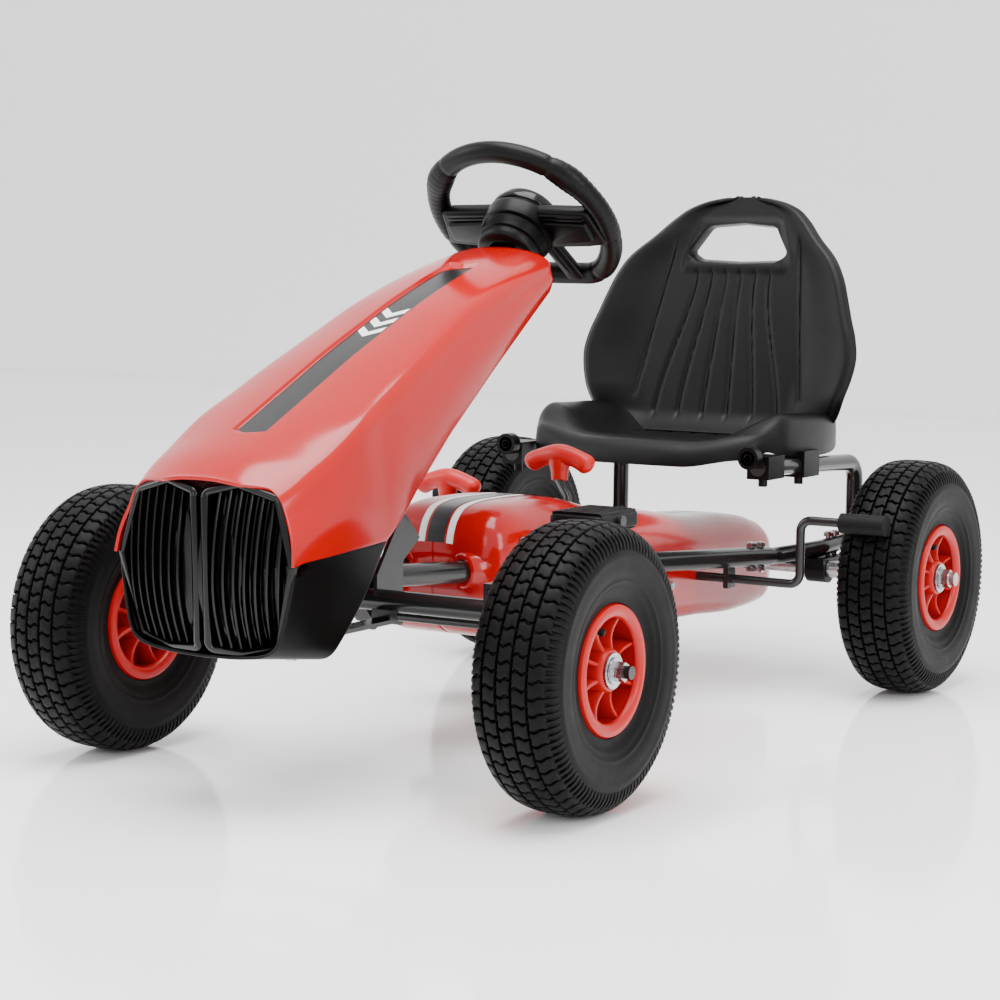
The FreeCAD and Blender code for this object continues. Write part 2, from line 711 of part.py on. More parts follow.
def cover_screws():
    """Screws that hold the two cover halves together."""
    screws = []
    for x, y, z in cover_screw_places():
        shank = cylinder(2.4, (-x * 0.5, y, z), (x + 1, y, z))
        head = cylinder(4.5, (x + 0.7, y, z), (x + 3, y, z))
        screws.append(shank.fuse(head))
    return screws


# ---- rear frame, axle and drive -----------------------------------------------------
def rear_tube(side):
    """C-shaped tube: out of the main tube, over the axle, up and forward as the seat rail."""
    start, leave = tube_at(rear_tube_start), tube_at(rear_tube_bend)
    post_low = (rail_x, rear_post_y, axle_tube[2] + 4)
    post_high = (rail_x, rear_post_y, rail_rear_z)
    front = (rail_x, rail_front[0] + rail_setback, rail_front[1])
    tube = bent_bar([start, leave, axle_tube, post_low, post_high, front], seat_tube_radius, 22)
    whole = tube if side > 0 else mirror_x(tube)
    for x, y in joint_bolt_places() + block_bolt_places():
        whole = whole.cut(cylinder(3.2, (x, y, 100), (x, y, 200)))
    return whole


def joint_bolt_places():
    """Bolts that join the main tubes to the rear tubes: x and y."""
    places = []
    for y in (rear_tube_start + 14, rear_tube_start + 32):
        x = tube_at(y)[0]
        places += [(x, y), (-x, y)]
    return places


def block_bolt_places():
    """Bolts that hold the bearing blocks under the rear tubes: x and y."""
    places = []
    for y in (block_y[1] - 23.5, block_y[1] - 7.5):
        share = (y - axle_tube[1]) / (rear_post_y - axle_tube[1])
        x = axle_tube[0] + share * (rail_x - axle_tube[0])
        places += [(x, y), (-x, y)]
    return places


def frame_bolts():
    """Bolts with nuts through the tube joints and the bearing blocks."""
    bolts = []
    for x, y in joint_bolt_places():
        z = tube_at(y)[2]
        bolts.append(bolt(3, 6, 4.5, (x, y, z - tube_radius - 0.2), (x, y, z + tube_radius + 6)))
    for x, y in block_bolt_places():
        top = axle_tube[2] + seat_tube_radius + 8.5
        bolts.append(bolt(3, 6, 4.5, (x, y, 131.8), (x, y, top)))
    return bolts


def bearing_block(side):
    """Block that holds the rear axle under one rear tube."""
    low, high = block_x
    top = axle_tube[2] - seat_tube_radius - 0.3
    plate = box((low, block_y[0], 132), (high, block_y[1], top))
    housing = cylinder(16, (low, wheelbase, axle_z), (high, wheelbase, axle_z))
    housing = housing.common(box((low, wheelbase - 43, 100), (high, wheelbase + 57, top)))
    bore = cylinder(rear_axle_radius + fit, (0, wheelbase, axle_z), (300, wheelbase, axle_z))
    seat_of_tube = cylinder(seat_tube_radius + 0.3, tube_at(rear_tube_bend), axle_tube)
    whole = fuse([plate, housing]).cut(bore).cut(seat_of_tube)
    whole = whole if side > 0 else mirror_x(whole)
    for x, y in block_bolt_places():
        whole = whole.cut(cylinder(3.2, (x, y, 100), (x, y, 200)))
    return whole


def rear_axle():
    """Rear axle with collars inside the bearing blocks and threaded ends."""
    end = rear_half_track + rim_half_width + 2 + nut_length + thread_stub
    bar = cylinder(rear_axle_radius, (-end, wheelbase, axle_z), (end, wheelbase, axle_z))
    solids = [bar]
    for side in (-1, 1):
        inside = side * (block_x[0] - 1)
        solids.append(cylinder(12, (inside - side * 6, wheelbase, axle_z), (inside, wheelbase, axle_z)))
        outside = side * (block_x[1] + 1)
        wheel_side = side * (rear_half_track - rim_half_width - 1.5 - clear)
        solids.append(cylinder(10, (outside, wheelbase, axle_z), (wheel_side, wheelbase, axle_z)))
    solids.append(cylinder(14, (-12, wheelbase, axle_z), (-3, wheelbase, axle_z)))
    return fuse(solids)


def pitch_radius(teeth):
    """Pitch radius of a chain wheel."""
    return chain_pitch / (2.0 * math.sin(math.pi / teeth))


def toothed_wheel(teeth, y, z, bore, holes):
    """Chain wheel 3 mm thick on the middle plane, with lightening holes."""
    radius = pitch_radius(teeth)
    points = []
    for i in range(teeth):
        for share, reach in ((-0.30, -3.6), (-0.13, 2.6), (0.13, 2.6), (0.30, -3.6)):
            angle = 2 * math.pi * (i + share) / teeth
            r = radius + reach
            points.append(V(-1.5, y + r * math.cos(angle), z + r * math.sin(angle)))
    face = Part.Face(Part.makePolygon(points + points[:1]))
    wheel = face.extrude(V(3, 0, 0))
    cuts = [cylinder(bore, (-9, y, z), (9, y, z))]
    for i in range(holes):
        angle = 2 * math.pi * i / holes
        hy, hz = y + radius * 0.62 * math.cos(angle), z + radius * 0.62 * math.sin(angle)
        cuts.append(cylinder(radius * 0.17, (-9, hy, hz), (9, hy, hz)))
    return wheel.cut(Part.makeCompound(cuts))


def chain():
    """Chain: outer and inner side plates run round both wheels, clear of their teeth."""
    big, small = pitch_radius(chainwheel_teeth), pitch_radius(sprocket_teeth)
    dy, dz = wheelbase - crank_y, axle_z - crank_z
    length = math.hypot(dy, dz)
    lean = math.atan2(dz, dy)
    side = math.acos((big - small) / length)
    loops = []
    for grow in (4.0, -4.0):
        points = []
        for radius, cy, cz in ((big + grow, crank_y, crank_z), (small + grow, wheelbase, axle_z)):
            for sign in (1, -1):
                angle = lean + sign * side
                points.append(V(0, cy + radius * math.cos(angle), cz + radius * math.sin(angle)))
        back = V(0, crank_y - (big + grow) * math.cos(lean), crank_z - (big + grow) * math.sin(lean))
        tail = V(0, wheelbase + (small + grow) * math.cos(lean), axle_z + (small + grow) * math.sin(lean))
        loop = Part.Wire([Part.LineSegment(points[0], points[2]).toShape(),
                          Part.Arc(points[2], tail, points[3]).toShape(),
                          Part.LineSegment(points[3], points[1]).toShape(),
                          Part.Arc(points[1], back, points[0]).toShape()])
        loops.append(Part.Face(loop))
    band = loops[0].cut(loops[1])
    plates = []
    for x in (-4.0, 2.6):
        plate = band.extrude(V(1.4, 0, 0))
        plate.translate(V(x, 0, 0))
        plates.append(plate)
    return plates


def crank():
    """One-piece crank: axle through the hanger, two arms and the pedal spindles."""
    dy = crank_arm * math.cos(math.radians(crank_angle))
    dz = crank_arm * math.sin(math.radians(crank_angle))
    solids = [cylinder(crank_radius, (-crank_arm_x, crank_y, crank_z), (crank_arm_x, crank_y, crank_z))]
    for side in (-1, 1):
        x, y, z = side * crank_arm_x, crank_y + side * dy, crank_z + side * dz
        solids.append(Part.makeSphere(crank_radius, V(x, crank_y, crank_z)))
        solids.append(cylinder(crank_radius, (x, crank_y, crank_z), (x, y, z)))
        solids.append(Part.makeSphere(crank_radius, V(x, y, z)))
        end = side * (pedal_x + pedal_half_width + 4)
        solids.append(cylinder(crank_radius, (x, y, z), (end, y, z)))
    solids.append(cylinder(13, (-9, crank_y, crank_z), (-1.5, crank_y, crank_z)))
    return fuse(solids)


def crank_bushes():
    """Nylon bushes in the outer ends of the hanger."""
    bushes = []
    for side in (-1, 1):
        body = cylinder(9 - 0.02, (side * 66, crank_y, crank_z), (side * 84, crank_y, crank_z))
        collar = cylinder(13, (side * 84, crank_y, crank_z), (side * 87, crank_y, crank_z))
        bore = cylinder(crank_radius + fit, (side * 50, crank_y, crank_z), (side * 99, crank_y, crank_z))
        bushes.append(body.fuse(collar).cut(bore))
    return bushes


def pedal(side):
    """Moulded pedal, turning on its spindle."""
    y = crank_y + side * crank_arm * math.cos(math.radians(crank_angle))
    z = crank_z + side * crank_arm * math.sin(math.radians(crank_angle))
    x = side * pedal_x
    body = box((x - pedal_half_width, y - pedal_half_length, z - pedal_half_height),
               (x + pedal_half_width, y + pedal_half_length, z + pedal_half_height))
    upright = [e for e in body.Edges if abs(e.tangentAt(e.FirstParameter).z) > 0.9]
    body = body.makeFillet(12, upright)
    bore = cylinder(crank_radius + fit, (x - 60, y, z), (x + 60, y, z))
    return body.cut(bore)


# ---- brake and gear lever -----------------------------------------------------------
def brake_lever():
    """Brake rod across the kart, its upturned ends and the hand lever."""
    y, z = brake_y, brake_z
    half = [(0, y, z), (brake_crank_x, y, z), (brake_crank_x, y, brake_sleeve_z),
            (brake_sleeve_x[1] - 4, y, brake_sleeve_z)]
    left = bent_bar(half, brake_rod_radius, 12)
    gx, gy, gz = brake_grip_place
    lever = bent_bar([(gx, y, z), (gx, y - 30, z + 24), (gx, gy + 40, gz - 22), (gx, gy, gz)],
                     brake_rod_radius, 20)
    return fuse([left, mirror_x(left), lever])


def t_grip(place, stem_way, bore):
    """Red T grip: a bar across the kart on a short socket."""
    x, y, z = place
    bar = cylinder(9, (x - 38, y, z), (x + 38, y, z))
    ends = [Part.makeSphere(9, V(x + side * 38, y, z)) for side in (-1, 1)]
    way = V(*stem_way).normalize()
    socket = Part.makeCylinder(10, 14, V(x, y, z) + way * 4, way)
    hole = Part.makeCylinder(bore, 80, V(x, y, z) - way * 2, way)
    return fuse([bar, socket] + ends).cut(hole)


def brake_grip():
    """Grip of the hand brake."""
    gx, gy, gz = brake_grip_place
    return t_grip(brake_grip_place, (0, 40, -22), brake_rod_radius + 0.1)


def brake_sleeves():
    """Rubber sleeves that press on the rear tyres."""
    sleeves = []
    low, high = brake_sleeve_x
    for side in (-1, 1):
        outer = cylinder(brake_sleeve_radius, (side * low, brake_y, brake_sleeve_z),
                         (side * high, brake_y, brake_sleeve_z))
        bore = cylinder(brake_rod_radius + 0.1, (side * (low - 1), brake_y, brake_sleeve_z),
                        (side * (high - 3.9), brake_y, brake_sleeve_z))
        sleeves.append(outer.cut(bore))
    return sleeves


def gear_pin():
    """Pin on the left main tube that the gear lever turns on."""
    y, z = gear_pivot
    x = tube_at(y)[0]
    pin = cylinder(5, (gear_stem_x - 7, y, z), (x, y, z))
    return pin.fuse(cylinder(9, (gear_stem_x + 6.5, y, z), (x, y, z)))


def gear_lever():
    """Gear lever on its pin, cranked in to the middle above the cover."""
    y, z = gear_pivot
    gx, gy, gz = gear_grip_place
    stem = bent_bar([(gear_stem_x, y, z), (gear_stem_x, y + 12, z + 64), (gx, gy - 4, gz - 22), (gx, gy, gz)],
                    4, 4)
    hub = cylinder(10, (gear_stem_x - 6, y, z), (gear_stem_x + 6, y, z))
    return fuse([stem, hub]).cut(cylinder(5 + fit, (0, y, z), (60, y, z)))


def gear_grip():
    """Grip of the gear lever."""
    return t_grip(gear_grip_place, (0, -4, -22), 4.1)


# ---- seat ---------------------------------------------------------------------------
seat_back = [(767, 288), (800, 381), (826, 471), (848, 548)]
back_outline = [(0, 549), (60, 540), (96, 505), (128, 455), (158, 415), (177, 378), (172, 330), (150, 290),
                (0, 286)]
hole_outline = [(57, 471), (66, 484), (54, 516), (0, 520)]


def seat():
    """Moulded seat shell: pan, side wings and reclined back with its hand hole."""
    pan = prism_x([(575, 270.4), (775, 280), (775, 289), (640, 283), (575, 282), (560, 276)], -150, 150)
    corner = [(-150, 640), (-150, 790), (150, 790), (150, 640),
              (110, 575), (60, 562), (-60, 562), (-110, 575)]
    pan = pan.common(prism_z(corner, 200, 400))
    wings = []
    for side in (-1, 1):
        wing = [(590, 270.4), (640, 306), (700, 316), (760, 306), (792, 280), (792, 270.4)]
        plate = prism_x(wing, 146, 154)
        wings.append(plate if side > 0 else mirror_x(plate))
    band = seat_back + [(y + 8, z - 2) for y, z in reversed(seat_back)]
    back = prism_x(band, -190, 190)
    front_view = [(-x, z) for x, z in reversed(back_outline[1:-1])] + back_outline
    points = [V(x, 700, z) for x, z in front_view]
    back = back.common(Part.Face(Part.makePolygon(points + points[:1])).extrude(V(0, 200, 0)))
    hole = [(-x, z) for x, z in reversed(hole_outline[:-1])]
    hole = [V(x, 700, z) for x, z in hole_outline + hole]
    hole_face = Part.Face(Part.makePolygon(hole + hole[:1]))
    back = back.cut(hole_face.extrude(V(0, 200, 0)))
    return fuse([pan, back] + wings).translated(V(0, seat_shift, 0))


def rail_z(y):
    """Height of the rail's centre at a given Y."""
    share = (y - rear_post_y) / (rail_front[0] + rail_setback - rear_post_y)
    return rail_rear_z + share * (rail_front[1] - rail_rear_z)


def seat_shoes():
    """Shoes under the seat that slide on the rails, with their strap nuts."""
    shoes = []
    for side in (-1, 1):
        for start, length in ((7.5, 39.5), (99.0, 40.0)):
            x, low = side * rail_x, rail_front[0] + start
            high = low + length
            block = box((x - 13, low, rail_z(low) - 13), (x + 13, high, 270))
            way = cylinder(seat_tube_radius + 0.3, (x, low - 60, rail_z(low - 60)),
                           (x, high + 60, rail_z(high + 60)))
            nut = cylinder(5, (x - 3, (low + high) / 2, rail_z(low) - 22),
                           (x - 3, (low + high) / 2, rail_z(low) - 13))
            shoes.append(fuse([block, nut]).cut(way))
    return shoes


def seat_knob(side):
    """Round clamp knob at the front of one rail."""
    x, y = side * 152.0, rail_front[0]
    grip = cylinder(12, (x, y - 12, 269), (x, y + 1, 269))
    neck = cylinder(4, (x, y, 269), (x, y + 7.1, 269))
    return grip.fuse(neck)


# ---- make everything ----------------------------------------------------------------
def main():
    """Write every node."""
    os.makedirs("parts", exist_ok=True)
    wheels()
    save("main_frame", main_frame())
    save("kingpins", *kingpins())
    save("column_bushes", *column_bushes())
    save("steering_shaft", steering_shaft())
    save("steering_wheel", steering_wheel())
    save("steering_cap", steering_cap())
    save("tie_rod", tie_rod())
    save("tie_rod_bolts", *tie_rod_bolts())
    save("hood", hood())
    save("nose_fairing", nose_fairing())
    save("fairing_screws", *fairing_screws())
    save("grille", grille())
    save("cover_screws", *cover_screws())
    save("frame_bolts", *frame_bolts())
    save("rear_axle", rear_axle())
    save("chain", *chain())
    save("chainwheel", toothed_wheel(chainwheel_teeth, crank_y, crank_z, crank_radius + 0.02, 6))
    save("rear_sprocket", toothed_wheel(sprocket_teeth, wheelbase, axle_z, rear_axle_radius + 0.02, 0))
    save("crank", crank())
    save("crank_bushes", *crank_bushes())
    save("brake_lever", brake_lever())
    save("brake_grip", brake_grip())
    save("brake_sleeves", *brake_sleeves())
    save("gear_lever", gear_lever())
    save("gear_grip", gear_grip())
    save("seat", seat())
    save("seat_shoes", *seat_shoes())
    rear_nuts = []
    for name, side in (("left", 1), ("right", -1)):
        save("knuckle_" + name, knuckle(side))
        save("front_nut_" + name, axle_nut(side * front_half_track, 0.0, side, axle_radius))
        save("chain_cover_" + name, chain_cover(side))
        save("rear_tube_" + name, rear_tube(side))
        save("bearing_block_" + name, bearing_block(side))
        save("pedal_" + name, pedal(side))
        save("seat_knob_" + name, seat_knob(side))
        rear_nuts.append(axle_nut(side * rear_half_track, wheelbase, side, rear_axle_radius))
    save("rear_nuts", *rear_nuts)


main()
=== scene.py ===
"""Looks of a child's pedal go kart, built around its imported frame.

Lengths in this file are millimetres from the middle of the front axle on the ground:
x to the kart's left, y to its rear, z up. place() turns them into the frame's metres.
"""

import logging
import math
from dataclasses import dataclass
from enum import Enum
from typing import Callable, Sequence

import bpy
import numpy as np
from mathutils import Matrix, Vector


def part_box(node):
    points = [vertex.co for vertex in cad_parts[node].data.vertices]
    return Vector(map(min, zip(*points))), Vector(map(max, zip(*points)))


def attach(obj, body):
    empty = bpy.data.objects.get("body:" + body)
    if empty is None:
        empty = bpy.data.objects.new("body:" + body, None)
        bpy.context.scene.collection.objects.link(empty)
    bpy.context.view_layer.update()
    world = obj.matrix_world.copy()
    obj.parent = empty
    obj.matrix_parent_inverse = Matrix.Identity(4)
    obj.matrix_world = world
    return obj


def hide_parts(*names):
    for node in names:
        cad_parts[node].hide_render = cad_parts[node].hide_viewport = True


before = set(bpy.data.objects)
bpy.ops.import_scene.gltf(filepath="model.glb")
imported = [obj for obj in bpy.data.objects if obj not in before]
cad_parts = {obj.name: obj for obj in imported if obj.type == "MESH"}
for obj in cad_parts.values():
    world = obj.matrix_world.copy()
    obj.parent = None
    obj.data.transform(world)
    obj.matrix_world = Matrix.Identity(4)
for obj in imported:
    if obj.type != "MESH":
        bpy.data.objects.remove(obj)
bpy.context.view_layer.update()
logging.basicConfig(level=logging.INFO, format="%(message)s")
LOG = logging.getLogger("kart")

MM = 0.001
Array = np.ndarray
Point = tuple[float, float, float]


def node_middle(name: str) -> Vector:
    """Middle of a CAD node's box.

    Args:
        name: the node's name.

    Returns:
        Its middle in metres.
    """
    low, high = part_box(name)
    return (Vector(low) + Vector(high)) / 2.0


ORIGIN_Y = node_middle("tyre_front_left").y


def place(points: Array) -> Array:
    """Kart millimetres to frame metres.

    Args:
        points: array whose last axis is x, y, z.

    Returns:
        The same points in metres.
    """
    moved = np.asarray(points, dtype=float) * MM
    moved[..., 1] += ORIGIN_Y
    return moved


def smooth(low: float, high: float, value: Array) -> Array:
    """Smooth step from 0 at low to 1 at high."""
    t = np.clip((np.asarray(value, dtype=float) - low) / (high - low), 0.0, 1.0)
    return t * t * (3.0 - 2.0 * t)


def curve_through(at: Sequence[float], values: Sequence[float], where: Array) -> Array:
    """Smooth curve through given values, without overshoot.

    Args:
        at: rising places.
        values: value at each place.
        where: places to read.

    Returns:
        The curve's values there.
    """
    x, y = np.asarray(at, dtype=float), np.asarray(values, dtype=float)
    step, rise = np.diff(x), np.diff(y) / np.diff(x)
    slope = np.empty_like(y)
    slope[0], slope[-1] = rise[0], rise[-1]
    both = rise[:-1] * rise[1:]
    mean = (rise[:-1] + rise[1:]) / 2.0
    limit = 3.0 * np.minimum(np.abs(rise[:-1]), np.abs(rise[1:]))
    slope[1:-1] = np.where(both > 0, np.sign(mean) * np.minimum(np.abs(mean), limit), 0.0)
    w = np.clip(np.asarray(where, dtype=float), x[0], x[-1])
    i = np.clip(np.searchsorted(x, w) - 1, 0, len(x) - 2)
    t = (w - x[i]) / step[i]
    a, b = 2 * t**3 - 3 * t**2 + 1, t**3 - 2 * t**2 + t
    c, d = -2 * t**3 + 3 * t**2, t**3 - t**2
    return a * y[i] + b * step[i] * slope[i] + c * y[i + 1] + d * step[i] * slope[i + 1]


# ---- materials ----------------------------------------------------------------------
def srgb(code: str) -> tuple[float, float, float, float]:
    """sRGB hex colour to linear RGBA.

    Args:
        code: colour such as "#A00002".

    Returns:
        Red, green, blue and alpha.
    """
    parts = [int(code[i:i + 2], 16) / 255.0 for i in (1, 3, 5)]
    linear = [c / 12.92 if c <= 0.04045 else ((c + 0.055) / 1.055) ** 2.4 for c in parts]
    return linear[0], linear[1], linear[2], 1.0


def add_node(tree: bpy.types.NodeTree, kind: str, settings: dict, links: dict) -> bpy.types.Node:
    """Add a node with its settings and the links that come into it.

    Args:
        tree: the material's node tree.
        kind: the node's type name.
        settings: attribute names or input names with their values.
        links: input name to the socket that feeds it.

    Returns:
        The new node.
    """
    made = tree.nodes.new(kind)
    for key, value in settings.items():
        if hasattr(made, key):
            setattr(made, key, value)
        else:
            made.inputs[key].default_value = value
    for key, socket in links.items():
        tree.links.new(socket, made.inputs[key])
    return made


@dataclass(frozen=True)
class Finish:
    """One surface: what it is made of and how its surface was made.

    Colours are sRGB hex. grain_mm is the size of the surface's finest pattern and cloud_mm
    that of its slow change of tone and gloss.
    """

    name: str
    colour: str
    shade: str
    roughness: float
    roughness_spread: float = 0.08
    metallic: float = 0.0
    ior: float = 1.5
    coat: float = 0.0
    coat_roughness: float = 0.05
    grain_mm: float = 1.0
    grain_height: float = 0.1
    cloud_mm: float = 60.0
    specular: float = 0.5

    def make(self) -> bpy.types.Material:
        """Build the material once, and return it after that."""
        known = bpy.data.materials.get(self.name)
        if known:
            return known
        material = bpy.data.materials.new(self.name)
        material.use_nodes = True
        tree = material.node_tree
        shader = tree.nodes["Principled BSDF"]
        for key, value in (("Metallic", self.metallic), ("IOR", self.ior), ("Coat Weight", self.coat),
                           ("Coat Roughness", self.coat_roughness), ("Specular IOR Level", self.specular)):
            shader.inputs[key].default_value = value
        spot = add_node(tree, "ShaderNodeTexCoord", {}, {}).outputs["Object"]
        cloud = add_node(tree, "ShaderNodeTexNoise", {"Scale": 1.0 / (self.cloud_mm * MM), "Detail": 3.0},
                         {"Vector": spot})
        tint = add_node(tree, "ShaderNodeMix", {"data_type": "RGBA"}, {0: cloud.outputs["Fac"]})
        tint.inputs[6].default_value = srgb(self.colour)
        tint.inputs[7].default_value = srgb(self.shade)
        gloss = add_node(tree, "ShaderNodeMapRange",
                         {"To Min": self.roughness - self.roughness_spread / 2,
                          "To Max": self.roughness + self.roughness_spread / 2},
                         {"Value": cloud.outputs["Fac"]})
        self.paint(tree, shader, spot, tint.outputs[2], gloss.outputs["Result"])
        return material

    def paint(self, tree: bpy.types.NodeTree, shader: bpy.types.Node, spot: bpy.types.NodeSocket,
              colour: bpy.types.NodeSocket, gloss: bpy.types.NodeSocket) -> None:
        """Link colour, gloss and the grain's bump to the shader.

        Args:
            tree: the material's node tree.
            shader: its Principled shader.
            spot: object coordinates.
            colour: the clouded colour.
            gloss: the clouded roughness.
        """
        grain = add_node(tree, "ShaderNodeTexNoise",
                         {"Scale": 1.0 / (self.grain_mm * MM), "Detail": 2.0, "Roughness": 0.6},
                         {"Vector": spot})
        bump = add_node(tree, "ShaderNodeBump", {"Strength": self.grain_height, "Distance": self.grain_mm * MM},
                        {"Height": grain.outputs["Fac"]})
        tree.links.new(colour, shader.inputs["Base Color"])
        tree.links.new(gloss, shader.inputs["Roughness"])
        tree.links.new(bump.outputs["Normal"], shader.inputs["Normal"])


@dataclass(frozen=True)
class MouldedRubber(Finish):
    """Tyre rubber: dusty in its pores, with a faint bloom that greys it."""

    bloom: str = "#060606"

    def paint(self, tree: bpy.types.NodeTree, shader: bpy.types.Node, spot: bpy.types.NodeSocket,
              colour: bpy.types.NodeSocket, gloss: bpy.types.NodeSocket) -> None:
        """Add the bloom over the plain finish; arguments as in Finish.paint."""
        super().paint(tree, shader, spot, colour, gloss)
        dust = add_node(tree, "ShaderNodeTexNoise", {"Scale": 1.0 / (14.0 * MM), "Detail": 5.0,
                                                     "Roughness": 0.7},
                        {"Vector": spot})
        share = add_node(tree, "ShaderNodeMapRange", {"From Min": 0.45, "From Max": 0.8, "To Min": 0.0,
                                                      "To Max": 0.5},
                         {"Value": dust.outputs["Fac"]})
        grey = add_node(tree, "ShaderNodeMix", {"data_type": "RGBA"}, {0: share.outputs["Result"], 6: colour})
        grey.inputs[7].default_value = srgb(self.bloom)
        tree.links.new(grey.outputs[2], shader.inputs["Base Color"])


@dataclass(frozen=True)
class BrushedPlate(Finish):
    """Zinc plated steel: turned marks and bright and dull patches."""

    mark_mm: float = 0.5

    def paint(self, tree: bpy.types.NodeTree, shader: bpy.types.Node, spot: bpy.types.NodeSocket,
              colour: bpy.types.NodeSocket, gloss: bpy.types.NodeSocket) -> None:
        """Add fine turned rings about the x axis; arguments as in Finish.paint."""
        super().paint(tree, shader, spot, colour, gloss)
        rings = add_node(tree, "ShaderNodeTexWave",
                         {"Scale": 1.0 / (self.mark_mm * MM * 20.0), "Distortion": 2.0, "Detail": 2.0},
                         {"Vector": spot})
        bump = add_node(tree, "ShaderNodeBump", {"Strength": 0.08, "Distance": self.mark_mm * MM},
                        {"Height": rings.outputs["Fac"]})
        tree.links.new(bump.outputs["Normal"], shader.inputs["Normal"])


# Injection moulded ABS with a polished mould: deep gloss, long soft reflections.
RED_ABS = Finish("red_abs_gloss", "#A00002", "#920001", 0.15, 0.05, coat=0.05, specular=0.3,
                 coat_roughness=0.06,
                 grain_mm=6.0, grain_height=0.012, cloud_mm=180.0)
# The dark insert in the hood's groove is printed ABS, a little duller than the hood.
GREY_PRINT = Finish("charcoal_printed_abs", "#0A0B0D", "#101114", 0.26, 0.1, coat=0.05, specular=0.3,
                    grain_mm=0.8,
                    grain_height=0.03, cloud_mm=70.0)
# White printed film: clean and slightly glossy.
WHITE_PRINT = Finish("white_printed_film", "#ECECEC", "#DEDEE0", 0.3, 0.08, grain_mm=0.8, grain_height=0.02)
# Black ABS from a polished mould: a hard mirror edge on every rib of the grille.
BLACK_ABS = Finish("black_abs_gloss", "#010101", "#020202", 0.16, 0.06, coat=0.0, specular=0.24, grain_mm=5.0,
                   grain_height=0.015, cloud_mm=90.0)
# Satin black polypropylene: fine spark-eroded grain that breaks up reflections.
BLACK_PP = Finish("black_polypropylene_satin", "#020202", "#040404", 0.34, 0.1, specular=0.13, grain_mm=0.7,
                  grain_height=0.16, cloud_mm=70.0)
# Blow moulded HDPE of the seat: coarser grain and a broad waxy highlight.
SEAT_HDPE = Finish("black_hdpe_grained", "#020202", "#040405", 0.36, 0.12, specular=0.14, grain_mm=0.9,
                   grain_height=0.3,
                   cloud_mm=120.0)
# Powder coated tube: deep black with a faint orange peel.
POWDER = Finish("black_powder_coat", "#020202", "#030303", 0.16, 0.08, coat=0.04, specular=0.3,
                coat_roughness=0.08,
                grain_mm=1.6, grain_height=0.05, cloud_mm=50.0)
# Red polypropylene of the rims: softer and a little paler than the hood.
RED_PP = Finish("red_polypropylene_satin", "#A80100", "#9A0100", 0.34, 0.08, specular=0.3, grain_mm=0.8,
                grain_height=0.05,
                cloud_mm=40.0)
# Red grips: satin vinyl-like polypropylene with a rounded soft highlight.
RED_GRIP = Finish("red_grip_satin", "#AE0200", "#A00200", 0.36, 0.08, specular=0.3, grain_mm=0.6,
                  grain_height=0.1,
                  cloud_mm=30.0)
# Tyre rubber as moulded: dull, grey in the light, with dust in its pores.
TYRE_RUBBER = MouldedRubber("tyre_rubber_moulded", "#010101", "#030303", 0.48, 0.14, specular=0.1, grain_mm=0.9,
                            grain_height=0.35, cloud_mm=25.0)
# Soft rubber of the brake sleeves and valves: matt and even.
SOFT_RUBBER = Finish("black_rubber_sleeve", "#020202", "#050505", 0.6, 0.1, specular=0.15, grain_mm=0.6,
                     grain_height=0.2)
# Zinc plated steel of bolts, nuts, axles and bearings: pale with dull patches.
ZINC = BrushedPlate("zinc_plated_steel", "#C9CACC", "#9EA0A4", 0.28, 0.2, metallic=1.0, grain_mm=0.6,
                    cloud_mm=6.0)
# Oiled chain steel: dark and slick.
CHAIN_STEEL = BrushedPlate("oiled_chain_steel", "#5A5650", "#34312E", 0.35, 0.2, metallic=1.0, cloud_mm=8.0)
# Nylon bushes: waxy white.
NYLON = Finish("white_nylon", "#D8D6CE", "#CBC8BE", 0.45, 0.08, grain_mm=0.6, grain_height=0.05)


# ---- mesh helpers -------------------------------------------------------------------
class Follows(Enum):
    """Bodies that pieces made here move with."""

    FRAME = "frame"
    STEERING = "steering"
    SEAT = "seat"
    BRAKE = "brake"
    GEAR = "gear"
    PEDAL_LEFT = "pedal_left"
    PEDAL_RIGHT = "pedal_right"


